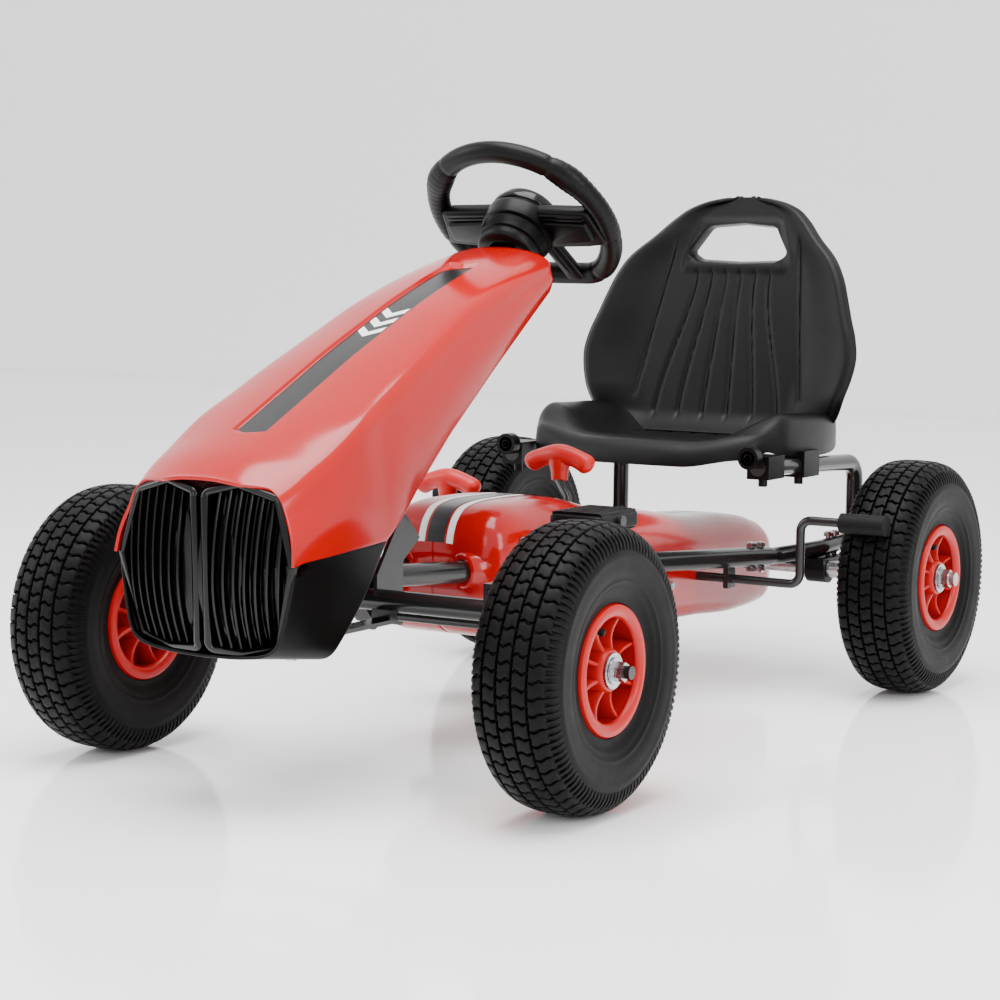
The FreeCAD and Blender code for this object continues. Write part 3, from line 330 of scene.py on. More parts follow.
class Sketch:
    """Points and faces of one piece, gathered before its mesh is made."""

    def __init__(self) -> None:
        """Start with nothing."""
        self.points: list[Array] = []
        self.faces: list[tuple[int, ...]] = []
        self.count = 0

    def add(self, points: Array, faces: Sequence[Sequence[int]]) -> None:
        """Add points (n, 3) and the faces between them.

        Args:
            points: array (n, 3).
            faces: point numbers of each face.
        """
        rows = np.asarray(points, dtype=float).reshape(-1, 3)
        self.points.append(rows)
        self.faces += [tuple(i + self.count for i in face) for face in faces]
        self.count += len(rows)

    def grid(self, points: Array, loop_rows: bool = False, loop_columns: bool = False,
             cap_start: bool = False, cap_end: bool = False) -> None:
        """Add a grid of quads.

        Args:
            points: array (rows, columns, 3).
            loop_rows: join the last row to the first.
            loop_columns: join the last column to the first.
            cap_start: close the first row with one face.
            cap_end: close the last row with one face.
        """
        rows, columns = points.shape[:2]
        faces: list[tuple[int, ...]] = []
        for i in range(rows if loop_rows else rows - 1):
            for j in range(columns if loop_columns else columns - 1):
                a, b = i * columns, (i + 1) % rows * columns
                k = (j + 1) % columns
                faces.append((a + j, a + k, b + k, b + j))
        if cap_start:
            faces.append(tuple(reversed(range(columns))))
        if cap_end:
            faces.append(tuple((rows - 1) * columns + j for j in range(columns)))
        self.add(points, faces)

    def block(self, low: Point, high: Point) -> None:
        """Add a six-sided block.

        Args:
            low: lowest corner.
            high: highest corner.
        """
        corners = [(x, y, z) for z in (low[2], high[2]) for x, y in
                   ((low[0], low[1]), (high[0], low[1]), (high[0], high[1]), (low[0], high[1]))]
        self.add(np.array(corners), [(0, 3, 2, 1), (4, 5, 6, 7), (0, 1, 5, 4), (1, 2, 6, 5), (2, 3, 7, 6),
                                     (3, 0, 4, 7)])

    def piece(self, name: str, finish: Finish, body: str, slot: str, replaces: Sequence[str] = (),
              sharp: float = 35.0) -> bpy.types.Object:
        """Make the piece, dress it and let it ride on its body.

        Args:
            name: the piece's name.
            finish: its surface.
            body: the CAD body it moves with.
            slot: the record's material slot; not used.
            replaces: CAD nodes it stands for.
            sharp: edges that turn more than this many degrees stay sharp.

        Returns:
            The new object.
        """
        mesh = bpy.data.meshes.new(name)
        mesh.from_pydata(place(np.concatenate(self.points)).tolist(), [], self.faces)
        mesh.validate()
        mesh.polygons.foreach_set("use_smooth", [True] * len(mesh.polygons))
        mesh.set_sharp_from_angle(angle=math.radians(sharp))
        made = bpy.data.objects.new(name, mesh)
        bpy.context.scene.collection.objects.link(made)
        mesh.materials.append(finish.make())
        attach(made, body)
        if replaces:
            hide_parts(*replaces)
        LOG.info("%s: %d faces, rides on %s", name, len(mesh.polygons), body)
        return made


def modify(piece: bpy.types.Object, kind: str, **settings: object) -> bpy.types.Modifier:
    """Add a modifier with its settings.

    Args:
        piece: the object.
        kind: the modifier's type.
        settings: its attributes.

    Returns:
        The modifier.
    """
    added = piece.modifiers.new(kind.lower(), kind)
    for key, value in settings.items():
        setattr(added, key, value)
    return added


def ring(count: int, start: float = 0.0, turn: float = 2.0 * math.pi) -> Array:
    """Angles evenly spaced round a circle, without the last one."""
    return start + turn * np.arange(count) / count


def sweep(path: Array, radii: Array, count: int, flat: float = 1.0, up: Point = (0.0, 0.0, 1.0),
          closed: bool = False) -> Array:
    """Rings of an elliptical section along a path.

    Args:
        path: points (n, 3).
        radii: radius at each point.
        count: points in each ring.
        flat: height of the section over its width.
        up: rough direction of the section's height.
        closed: the path is a loop.

    Returns:
        Points (n, count, 3).
    """
    if closed:
        ways = np.roll(path, -1, axis=0) - np.roll(path, 1, axis=0)
    else:
        ways = np.gradient(path, axis=0)
    ways /= np.linalg.norm(ways, axis=1, keepdims=True)
    sides = np.cross(ways, np.array(up, dtype=float))
    sides /= np.linalg.norm(sides, axis=1, keepdims=True)
    tops = np.cross(sides, ways)
    angles = ring(count)
    radii = np.asarray(radii, dtype=float).reshape(-1, 1, 1)
    across = np.cos(angles)[None, :, None] * sides[:, None, :]
    above = np.sin(angles)[None, :, None] * tops[:, None, :] * flat
    return path[:, None, :] + radii * (across + above)


def rounded(corners: Sequence[tuple[float, float]], radius: float, steps: int = 6) -> Array:
    """Closed outline with its corners rounded.

    Args:
        corners: corner points, in order.
        radius: radius at each corner.
        steps: points on each corner.

    Returns:
        Points (n, 2).
    """
    corners_array = np.asarray(corners, dtype=float)
    points: list[Array] = []
    for i, corner in enumerate(corners_array):
        back = corners_array[i - 1] - corner
        ahead = corners_array[(i + 1) % len(corners_array)] - corner
        reach_back, reach_ahead = np.linalg.norm(back), np.linalg.norm(ahead)
        half = math.acos(float(np.clip(back @ ahead / reach_back / reach_ahead, -1, 1))) / 2.0
        reach = min(radius / math.tan(half), 0.45 * reach_back, 0.45 * reach_ahead)
        a, b = corner + back / reach_back * reach, corner + ahead / reach_ahead * reach
        for t in np.linspace(0.0, 1.0, steps):
            points.append((1 - t) ** 2 * a + 2 * t * (1 - t) * corner + t * t * b)
    return np.array(points)


def inset(outline: Array, amount: float) -> Array:
    """Outline moved inwards by amount along its normals.

    Args:
        outline: points (n, 2) in order.
        amount: how far, in millimetres.

    Returns:
        The moved points.
    """
    ahead = np.roll(outline, -1, axis=0) - np.roll(outline, 1, axis=0)
    ahead /= np.linalg.norm(ahead, axis=1, keepdims=True)
    normal = np.stack([-ahead[:, 1], ahead[:, 0]], axis=1)
    area = 0.5 * np.sum(outline[:, 0] * np.roll(outline[:, 1], -1) - np.roll(outline[:, 0], -1) * outline[:, 1])
    return outline + normal * amount * (1.0 if area > 0 else -1.0)


def lathe(profile: Sequence[tuple[float, float]], origin: Point, axis: Point, count: int) -> Array:
    """Profile of (along, radius) turned about an axis.

    Args:
        profile: points from one end to the other.
        origin: where along is 0.
        axis: direction of the axis.
        count: steps round it.

    Returns:
        Points (count, profile, 3), ordered so that faces look outwards as along grows.
    """
    line = np.asarray(profile, dtype=float)
    way = np.array(axis, dtype=float) / np.linalg.norm(axis)
    first = np.cross(way, (0.0, 0.0, 1.0) if abs(way[2]) < 0.9 else (0.0, 1.0, 0.0))
    first /= np.linalg.norm(first)
    second = np.cross(way, first)
    angles = ring(count)
    spoke = np.cos(angles)[:, None] * first + np.sin(angles)[:, None] * second
    return (np.array(origin, dtype=float) + line[None, :, :1] * way
            + line[None, :, 1:] * spoke[:, None, :])


def kart_middle(name: str) -> Point:
    """Middle of a CAD node in kart millimetres."""
    m = node_middle(name)
    return m.x / MM, (m.y - ORIGIN_Y) / MM, m.z / MM


# ---- hood ---------------------------------------------------------------------------
@dataclass(frozen=True)
class Hood:
    """Red hood with its sunk stripe.

    Each row of sections: y, top, crease half width, drop, lower half width.
    """

    sections: tuple = ((-206, 299, 76, 15, 97), (-180, 314.5, 86, 20, 99), (-150, 329, 91, 20, 100),
                       (-100, 352, 93, 15, 100), (-60, 370.5, 88.5, 14, 100), (0, 398, 84, 14, 92.5),
                       (60, 423, 78, 12, 86), (120, 447, 73.5, 10, 79), (200, 474, 69, 11, 70),
                       (284, 496, 63, 12, 61))
    low_edge: tuple = ((-210, 226), (-190, 230), (-68, 237), (60, 325), (150, 378), (276, 449), (290, 457))
    wall: float = 3.0
    groove_half: float = 16.5
    groove_wall: float = 2.5
    groove_depth: float = 3.6
    groove_front: float = -140.0
    groove_rear: float = 208.0
    crease: float = 13.0

    def bow(self, x: float) -> float:
        """How far the front edge runs back at x."""
        return -3.0 + 11.0 * (x / 76.0) ** 2

    def read(self, column: int, y: Array) -> Array:
        """One column of the sections, read smoothly at y."""
        return curve_through([s[0] for s in self.sections], [s[column] for s in self.sections], y)

    def top(self, x: Array, y: Array) -> Array:
        """Height of the top panel before the groove is sunk."""
        return self.read(1, y) - self.read(3, y) * np.abs(x / self.read(2, y)) ** 2.2

    def groove(self, x: Array, y: Array) -> Array:
        """Depth of the groove at a point of the top panel.

        Args:
            x: across the hood.
            y: along the hood.

        Returns:
            How deep the groove is there.
        """
        across = 1.0 - smooth(self.groove_half, self.groove_half + self.groove_wall, np.abs(x))
        lean = 0.45 * x
        front = smooth(self.groove_front - self.groove_wall, self.groove_front, y - lean * 0.6)
        rear = 1.0 - smooth(self.groove_rear, self.groove_rear + self.groove_wall, y - lean)
        return self.groove_depth * across * front * rear

    def shell(self) -> None:
        """Build the hood itself."""
        near = np.array([0, 5, 10, 14, 16, 16.6, 17.3, 18, 18.8, 19.6, 22])
        steps_top, steps_crease, steps_side = 16, 9, 22
        marks = np.concatenate([[-206, -205, -203, -200], np.linspace(-196, -146, 14),
                                np.linspace(-144, -134, 9),
                                np.linspace(-128, 190, 66), np.linspace(192, 222, 24),
                                np.linspace(226, 276, 12)])
        share = (marks - marks[0]) / (marks[-1] - marks[0])
        half: list[Array] = []
        for kind, count in (("near", len(near)), ("top", steps_top), ("crease", steps_crease),
                            ("side", steps_side)):
            for i in range(count):
                half.append(self.column(kind, i, count, near, share, marks))
        points = np.stack(half, axis=1)
        mirrored = points[:, :0:-1] * np.array([-1, 1, 1])
        body = np.concatenate([mirrored, points], axis=1)
        collar = self.end_rows(body[-1])
        made = Sketch()
        made.grid(np.concatenate([body, collar]))
        piece = made.piece("hood_shell", RED_ABS, Follows.FRAME.value, "red_body_plastic", ["hood"], sharp=50)
        modify(piece, "SOLIDIFY", thickness=self.wall * MM, offset=-1.0)
        modify(piece, "BEVEL", width=0.8 * MM, segments=2, limit_method="ANGLE", angle_limit=math.radians(50))

    def column(self, kind: str, i: int, count: int, near: Array, share: Array, marks: Array) -> Array:
        """One line of points from front to rear.

        Args:
            kind: part of the section the line is in.
            i: its number in that part.
            count: lines in that part.
            near: x of the lines by the groove.
            share: 0 to 1 along the hood.
            marks: y along the mid plane.

        Returns:
            Points (rows, 3).
        """
        if kind == "near":
            y = marks + self.bow(near[i]) * (1.0 - smooth(0.0, 0.35, share))
            x = np.full_like(y, near[i])
            return np.stack([x, y, self.top(x, y) - self.groove(x, y)], axis=1)
        if kind == "top":
            t = (i + 1) / (count + 1)
            y = marks + self.bow(76.0 * t) * (1.0 - smooth(0.0, 0.35, share))
            x = near[-1] + (self.read(2, y) - self.crease - near[-1]) * t
            return np.stack([x, y, self.top(x, y)], axis=1)
        bow = self.bow(76.0) if kind == "crease" else self.bow(76.0) - 6.0 * (i / count)
        y = marks + bow * (1.0 - smooth(0.0, 0.35, share))
        edge = self.read(2, y)
        corner_z = self.read(1, y) - self.read(3, y)
        low_x = self.read(4, y)
        low_z = np.interp(y, [p[0] for p in self.low_edge], [p[1] for p in self.low_edge])
        start_x, start_z = edge - self.crease, self.top(edge - self.crease, y)
        fall = np.clip(self.crease * 1.5 / (corner_z - low_z), 0.0, 0.3)
        turn_x, turn_z = edge + (low_x - edge) * fall, corner_z + (low_z - corner_z) * fall
        if kind == "crease":
            t = (i + 0.5) / count
            x = (1 - t) ** 2 * start_x + 2 * t * (1 - t) * edge + t * t * turn_x
            z = (1 - t) ** 2 * start_z + 2 * t * (1 - t) * corner_z + t * t * turn_z
        else:
            t = i / (count - 1)
            x = turn_x + (low_x - turn_x) * t + 3.0 * math.sin(math.pi * t)
            z = turn_z + (low_z - turn_z) * t
        return np.stack([x, y, z], axis=1)

    def end_rows(self, last: Array) -> Array:
        """Rows that turn the rear end in around the column.

        Args:
            last: last row of the hood.

        Returns:
            The rows that follow it.
        """
        centre = np.array([0.0, last[:, 1].mean(), 458.0])
        rows = []
        for back, scale in ((2.5, 0.985), (5.0, 0.955), (6.5, 0.9), (7.0, 0.8), (7.0, 0.52)):
            row = centre + (last - centre) * scale
            row[:, 1] = last[:, 1] + back
            rows.append(row)
        return np.array(rows)

    def strip(self) -> None:
        """Dark printed strip on the floor of the groove."""
        made = Sketch()
        rows = np.linspace(self.groove_front + 2.0, self.groove_rear - 2.0, 120)
        columns = np.linspace(-self.groove_half + 0.6, self.groove_half - 0.6, 9)
        y, x = np.meshgrid(rows, columns, indexing="ij")
        lean = smooth(0.75, 1.0, (y - rows[0]) / (rows[-1] - rows[0]))
        fore = 1.0 - smooth(0.0, 0.2, (y - rows[0]) / (rows[-1] - rows[0]))
        y = y + 0.45 * x * lean + 0.27 * x * fore
        made.grid(np.stack([x, y, self.top(x, y) - self.groove_depth + 0.35], axis=-1))
        made.piece("hood_strip", GREY_PRINT, Follows.FRAME.value, "red_body_plastic")

    def chevrons(self) -> None:
        """Three white chevrons printed on the strip, which point to the front."""
        made = Sketch()
        for start in (38.0, 58.0, 78.0):
            across = np.linspace(-13.0, 13.0, 15)
            along = np.linspace(0.0, 10.0, 5)
            y, x = np.meshgrid(start + along, across, indexing="ij")
            y = y + np.abs(x) * 0.9
            made.grid(np.stack([x, y, self.top(x, y) - self.groove_depth + 0.6], axis=-1))
        made.piece("hood_chevrons", WHITE_PRINT, Follows.FRAME.value, "red_body_plastic")

    def build(self) -> None:
        """Build every piece of the hood."""
        self.shell()
        self.strip()
        self.chevrons()


# ---- grille and fairing -------------------------------------------------------------
@dataclass(frozen=True)
class Grille:
    """Two framed panels of upright slats."""

    corners: tuple = ((1.2, 290), (38, 299), (79, 287), (97, 227), (78, 150), (40, 142), (1.2, 145))
    corner_radius: float = 11.0
    frame_width: float = 9.0
    recess: float = 15.0
    slats: int = 7
    slat_half: float = 1.7
    slat_depth: float = 4.6

    def front(self, x: Array, z: Array) -> Array:
        """Y of the grille's face.

        Args:
            x: across the grille.
            z: height.

        Returns:
            The y of its face there.
        """
        above = 14.0 * (np.clip(z - 213.0, 0.0, None) / 86.0) ** 2
        below = 20.0 * (np.clip(213.0 - z, 0.0, None) / 70.0) ** 2
        return -220.0 + 20.0 * (x / 97.0) ** 2 + above + below

    def panel(self, made: Sketch, side: int) -> None:
        """Add the frame, back plate and slats of one side.

        Args:
            made: where they go.
            side: +1 for the kart's left.
        """
        outline = rounded(self.corners, self.corner_radius, 8)
        lines = []
        for depth, shrink in ((34.0, -0.2), (9.0, 0.0), (3.5, 0.5), (1.0, 1.8), (0.0, 4.2), (0.6, 6.6),
                              (3.0, 8.4),
                              (self.recess, 9.4)):
            edge = inset(outline, shrink)
            lines.append(np.stack([edge[:, 0] * side, self.front(edge[:, 0], edge[:, 1]) + depth,
                                   edge[:, 1]], axis=1))
        inner = inset(outline, 9.4)
        middle = inner.mean(axis=0)
        for scale in (0.7, 0.4, 0.02):
            edge = middle + (inner - middle) * scale
            depth = self.front(edge[:, 0], edge[:, 1]) + self.recess
            lines.append(np.stack([edge[:, 0] * side, depth, edge[:, 1]], axis=1))
        rows = np.array(lines)
        made.grid(rows if side < 0 else rows[:, ::-1], loop_columns=True)
        low, high = inner[:, 0].min(), inner[:, 0].max()
        for i in range(self.slats):
            x = low + (high - low) * (i + 0.85) / (self.slats + 0.7)
            ends = self.crossings(inset(outline, 6.0), x)
            z = np.linspace(ends[0], ends[1], 26)
            lean = (z - 213.0) * 0.03 * (x / 50.0)
            y = self.front(np.full_like(z, x), z) + 8.6
            path = np.stack([(np.full_like(z, x) + lean) * side, y, z], axis=1)
            made.grid(sweep(path, np.full(len(z), self.slat_half), 12, self.slat_depth / self.slat_half,
                            (0, 1, 0)),
                      loop_columns=True, cap_start=True, cap_end=True)

    def crossings(self, outline: Array, x: float) -> tuple[float, float]:
        """Lowest and highest z where an outline crosses x.

        Args:
            outline: closed outline of (x, z) points.
            x: where it is crossed.

        Returns:
            The lowest and the highest crossing.
        """
        found = []
        for a, b in zip(outline, np.roll(outline, -1, axis=0)):
            if (a[0] - x) * (b[0] - x) < 0:
                found.append(a[1] + (b[1] - a[1]) * (x - a[0]) / (b[0] - a[0]))
        return min(found), max(found)

    def build(self) -> None:
        """Build the grille as one moulding."""
        made = Sketch()
        for side in (-1, 1):
            self.panel(made, side)
        made.grid(self.bridge())
        made.piece("grille_moulding", BLACK_ABS, Follows.FRAME.value, "black_gloss_plastic", ["grille"],
                   sharp=50)

    def bridge(self) -> Array:
        """Plate behind the gap between the panels."""
        z = np.linspace(150.0, 286.0, 20)
        x = np.array([-8.0, -3.0, 3.0, 8.0])
        rows, columns = np.meshgrid(z, x, indexing="ij")
        return np.stack([columns, self.front(columns, rows) + 13.0, rows], axis=-1)


@dataclass(frozen=True)
class Fairing:
    """Black lower fairing, from the grille's edge to its slanted rear edge."""

    knots: tuple = (0.0, 0.32, 0.56, 0.66, 0.8, 1.0)
    fore: tuple = ((96, -198, 231), (89, -201, 192), (77.5, -203, 156), (66, -202, 148), (40, -200, 143),
                   (0, -199, 141))
    aft: tuple = ((99, -66, 237), (99, -101, 190), (97, -137, 152), (88, -144, 141), (60, -146, 139),
                  (0, -147, 139))
    wall: float = 3.0

    def build(self) -> None:
        """Build the fairing."""
        w = np.concatenate([np.linspace(0.0, 0.5, 18), np.linspace(0.52, 0.74, 14), np.linspace(0.77, 1.0, 10)])
        u = np.linspace(0.0, 1.0, 26)
        start = np.stack([curve_through(self.knots, [p[k] for p in self.fore], w) for k in range(3)], axis=1)
        end = np.stack([curve_through(self.knots, [p[k] for p in self.aft], w) for k in range(3)], axis=1)
        points = start[None] + (end - start)[None] * u[:, None, None]
        bulge = 2.6 * np.sin(np.pi * u)[:, None] * (1.0 - smooth(0.5, 0.8, w))[None]
        points[..., 0] += bulge
        half = points[:, ::-1]
        mirrored = points[:, :-1] * np.array([-1, 1, 1])
        whole = np.concatenate([mirrored, half], axis=1)
        made = Sketch()
        made.grid(whole[::-1])
        piece = made.piece("nose_fairing_shell", BLACK_PP, Follows.FRAME.value, "black_satin_plastic",
                           ["nose_fairing"], sharp=50)
        modify(piece, "SOLIDIFY", thickness=self.wall * MM, offset=-1.0)
        modify(piece, "BEVEL", width=0.9 * MM, segments=2, limit_method="ANGLE", angle_limit=math.radians(50))


# ---- chain cover --------------------------------------------------------------------
@dataclass(frozen=True)
class Cover:
    """Chain cover in two halves. Each row of sections: y, half width, top, bottom."""

    sections: tuple = ((162, 30, 196, 160), (164, 46, 208, 146), (168, 58, 220, 134), (176, 68, 231, 123),
                       (190, 74, 239, 114), (240, 78, 243, 106), (310, 77, 241, 100), (410, 72, 222, 94),
                       (543, 64, 206, 84), (640, 60, 192, 79), (739, 55, 185, 72), (800, 51, 176, 73),
                       (830, 47, 166, 78), (842, 41, 156, 88), (850, 28, 140, 104))
    wall: float = 2.4
    seam: float = 0.6

    def read(self, column: int, y: Array) -> Array:
        """One column of the sections, read smoothly at y."""
        return curve_through([s[0] for s in self.sections], [s[column] for s in self.sections], y)

    def section(self, y: Array, t: Array) -> Array:
        """Points of the half section: t 0 at the top's middle, 1 at the bottom's middle.

        Args:
            y: places along the kart.
            t: shares round the half section.

        Returns:
            Points (len(y), len(t), 3) on the kart's left.
        """
        half, top, low = self.read(1, y), self.read(2, y), self.read(3, y)
        upper = np.minimum(half, (top - low) / 2) * 0.62
        under = upper * 0.55
        lines = []
        for k in range(len(y)):
            h, a, b, r, m = half[k], top[k], low[k], upper[k], under[k]
            arc = np.linspace(0.0, math.pi / 2, 14)
            crown = 3.0 * (1.0 - (np.linspace(0.0, h - r, 8) / h) ** 2) - 3.0 * (1.0 - ((h - r) / h) ** 2)
            flat = np.stack([np.linspace(0.0, h - r, 8), a + crown], axis=1)
            turn = np.stack([h - r + r * np.sin(arc), a - r + r * np.cos(arc)], axis=1)
            foot = np.stack([h - m + m * np.cos(arc), b + m - m * np.sin(arc)], axis=1)
            line = np.concatenate([flat, turn[1:], foot, [[0.0, b]]])
            reach = np.concatenate([[0.0], np.cumsum(np.linalg.norm(np.diff(line, axis=0), axis=1))])
            where = t * reach[-1]
            lines.append(np.stack([np.interp(where, reach, line[:, 0]), np.full(len(t), y[k]),
                                   np.interp(where, reach, line[:, 1])], axis=1))
        return np.array(lines)

    def half(self, side: int) -> None:
        """Build one half.

        Args:
            side: +1 for the kart's left.
        """
        marks = np.concatenate([[162, 162.6, 163.4, 164.6, 166, 168, 171, 175, 180, 186, 193],
                                np.linspace(202, 810, 88),
                                [816, 822, 828, 833, 837, 841, 844, 846.5, 848.5, 850]])
        share = np.linspace(0.0, 1.0, 61)
        points = self.section(marks, share)
        points[..., 0] = np.maximum(points[..., 0], self.seam / 2)
        first = points[0].mean(axis=0) * np.array([0.0, 1.0, 1.0]) + np.array([self.seam / 2, 0.0, 0.0])
        last = points[-1].mean(axis=0) * np.array([0.0, 1.0, 1.0]) + np.array([self.seam / 2, 0.0, 0.0])
        close_first = first + (points[0] - first) * 0.02
        close_last = last + (points[-1] - last) * 0.02
        points = np.concatenate([close_first[None], points, close_last[None]])
        if side < 0:
            points = points[:, ::-1] * np.array([-1, 1, 1])
        made = Sketch()
        made.grid(points)
        name = "left" if side > 0 else "right"
        piece = made.piece(f"chain_cover_shell_{name}", RED_ABS, Follows.FRAME.value, "red_body_plastic",
                           [f"chain_cover_{name}"], sharp=50)
        modify(piece, "SOLIDIFY", thickness=self.wall * MM, offset=-1.0)

    def stripe(self, name: str, finish: Finish, low: float, high: float) -> None:
        """Printed stripe along the top of the cover's front.

        Args:
            name: the piece's name.
            finish: its print.
            low: its edge's x.
            high: its other edge's x.
        """
        y = np.concatenate([np.linspace(163.4, 200, 30), np.linspace(203, 300, 34)])
        top, half = self.read(2, y), self.read(1, y)
        x = np.linspace(low, high, 7)
        rows, columns = np.meshgrid(np.arange(len(y)), x, indexing="ij")
        drop = 3.0 * (columns / half[rows]) ** 2
        crown = 3.0 * ((half - np.minimum(half, (top - self.read(3, y)) / 2) * 0.62) / half) ** 2
        z = top[rows] + crown[rows] - drop + 0.4
        made = Sketch()
        made.grid(np.stack([columns, y[rows], z], axis=-1))
        made.piece(name, finish, Follows.FRAME.value, "red_body_plastic")

    def build(self) -> None:
        """Build both halves and their stripes."""
        for side in (-1, 1):
            self.half(side)
        self.stripe("cover_stripe_grey", GREY_PRINT, -8.0, 12.0)
        self.stripe("cover_stripe_white_left", WHITE_PRINT, 14.5, 22.0)
        self.stripe("cover_stripe_white_right", WHITE_PRINT, -18.0, -10.5)
        for side in (-1, 1):
            made = Sketch()
            ring_profile = [(-9.0, 11.2), (-9.0, 15.5), (-7.5, 17.5), (6.0, 18.5), (12.0, 22.0)]
            made.grid(lathe(ring_profile, (side * 39.0, 166.0, 181.0), (side * 0.34, 1.0, 0.0), 40),
                      loop_rows=True)
            made.piece(f"cover_collar_{'left' if side > 0 else 'right'}", RED_ABS, Follows.FRAME.value,
                       "red_body_plastic")


# ---- wheels -------------------------------------------------------------------------
@dataclass(frozen=True)
class Tyre:
    """Pneumatic tyre with a turf tread."""

    crown: tuple = ((0, 130), (12, 129.7), (24, 128), (32, 124.5), (37, 119), (40.5, 110), (42, 98), (41, 86),
                    (37, 74), (33.5, 66), (33, 60))
    tread_depth: float = 4.2
    rows: int = 5
    pitch: float = 14.6
    width: float = 12.6
    count: int = 56
    shoulder_ribs: int = 112

    def radius(self, x: Array) -> Array:
        """Outer radius of the tread at x from the tyre's middle."""
        return curve_through([p[0] for p in self.crown[:6]], [p[1] for p in self.crown[:6]], np.abs(x))

    def carcass(self, made: Sketch, centre: Point) -> None:
        """Add the casing under the tread, with its sidewall rings.

        Args:
            made: where it goes.
            centre: the wheel's middle.
        """
        knots = np.linspace(0.0, 1.0, len(self.crown))
        t = np.linspace(0.0, 1.0, 54)
        x = curve_through(knots, [p[0] for p in self.crown], t)
        r = curve_through(knots, [p[1] for p in self.crown], t)
        under = self.tread_depth * (1.0 - smooth(111.0, 122.0, 233.0 - r))
        r = r - under
        for place_r, width in ((103.0, 1.4), (99.0, 1.0), (79.0, 1.2), (72.0, 1.6)):
            x = x + 1.0 * np.exp(-((r - place_r) / width) ** 2) * smooth(0.45, 0.55, t)
        half = list(zip(x, r))
        profile = [(-a, b) for a, b in reversed(half)] + half[1:]
        made.grid(lathe(profile, centre, (1, 0, 0), 128), loop_rows=True)

    def block(self, made: Sketch, centre: Point, outline: Array, low: float, bevel: float) -> None:
        """Add one raised block.

        Args:
            made: where it goes.
            centre: the wheel's middle.
            outline: (angle, x) corners.
            low: depth of its foot under the tread's face.
            bevel: how far its top edge is rounded, in mm.
        """
        middle = outline.mean(axis=0)
        lines = []
        for depth, shrink in ((low, -0.5), (bevel, 0.0), (0.25 * bevel, 0.55 * bevel), (0.0, 1.5 * bevel)):
            away = (outline - middle) * np.array([self.crown[0][1], 1.0])
            reach = np.linalg.norm(away, axis=1, keepdims=True)
            edge = middle + away * (1.0 - shrink / reach) / np.array([self.crown[0][1], 1.0])
            r = self.radius(edge[:, 1]) - depth
            lines.append(np.stack([centre[0] + edge[:, 1], centre[1] + r * np.cos(edge[:, 0]),
                                   centre[2] + r * np.sin(edge[:, 0])], axis=1))
        made.grid(np.array(lines), loop_columns=True, cap_end=True)

    def tread(self, made: Sketch, centre: Point) -> None:
        """Add the rows of interlocking blocks and the shoulder's ribs.

        Args:
            made: where they go.
            centre: the wheel's middle.
        """
        step = 2.0 * math.pi / self.count
        edge = [(0.44 + 0.1 * math.sin(2.0 * math.pi * b), b) for b in np.linspace(-0.55, 0.55, 7)]
        back = [(a - 0.88, b) for a, b in reversed(edge)]
        shape = edge + [(0.0, 0.51)] + back + [(0.0, -0.51)]
        for row in range(self.rows):
            x = (row - (self.rows - 1) / 2.0) * self.pitch
            flip = 1.0 if row % 2 else -1.0
            for k in range(self.count):
                angle = (k + 0.5 * (row % 2)) * step
                outline = np.array([(angle + a * step * 0.93,
                                     x + b * flip * self.width * 0.93) for a, b in shape])
                if flip < 0:
                    outline = outline[::-1]
                self.block(made, centre, outline, self.tread_depth + 0.6, 0.9)
        turn = 2.0 * math.pi / self.shoulder_ribs
        for side in (-1, 1):
            for k in range(self.shoulder_ribs):
                angle = (k + 0.25 * side) * turn
                self.rib(made, centre, side, angle, 0.30 * turn)

    def rib(self, made: Sketch, centre: Point, side: int, angle: float, half: float) -> None:
        """Add one radial rib of the shoulder.

        Args:
            made: where it goes.
            centre: the wheel's middle.
            side: which shoulder.
            angle: its place round the tyre.
            half: half its width as an angle.
        """
        line = [(34.2, 121.5), (37.8, 117.0), (40.4, 111.5), (41.6, 106.5)]
        rows = []
        for x, r in line:
            sink, rise = 1.5, (0.9 if (x, r) in line[1:-1] else 0.2)
            corner = [(-1.0, -sink), (-0.7, rise), (0.7, rise), (1.0, -sink)]
            row = []
            for share, out in corner:
                a = angle + half * share
                rr, xx = r + out * 0.5, x + out * 0.85
                row.append((centre[0] + side * xx, centre[1] + rr * math.cos(a), centre[2] + rr * math.sin(a)))
            rows.append(row if side > 0 else row[::-1])
        made.grid(np.array(rows))


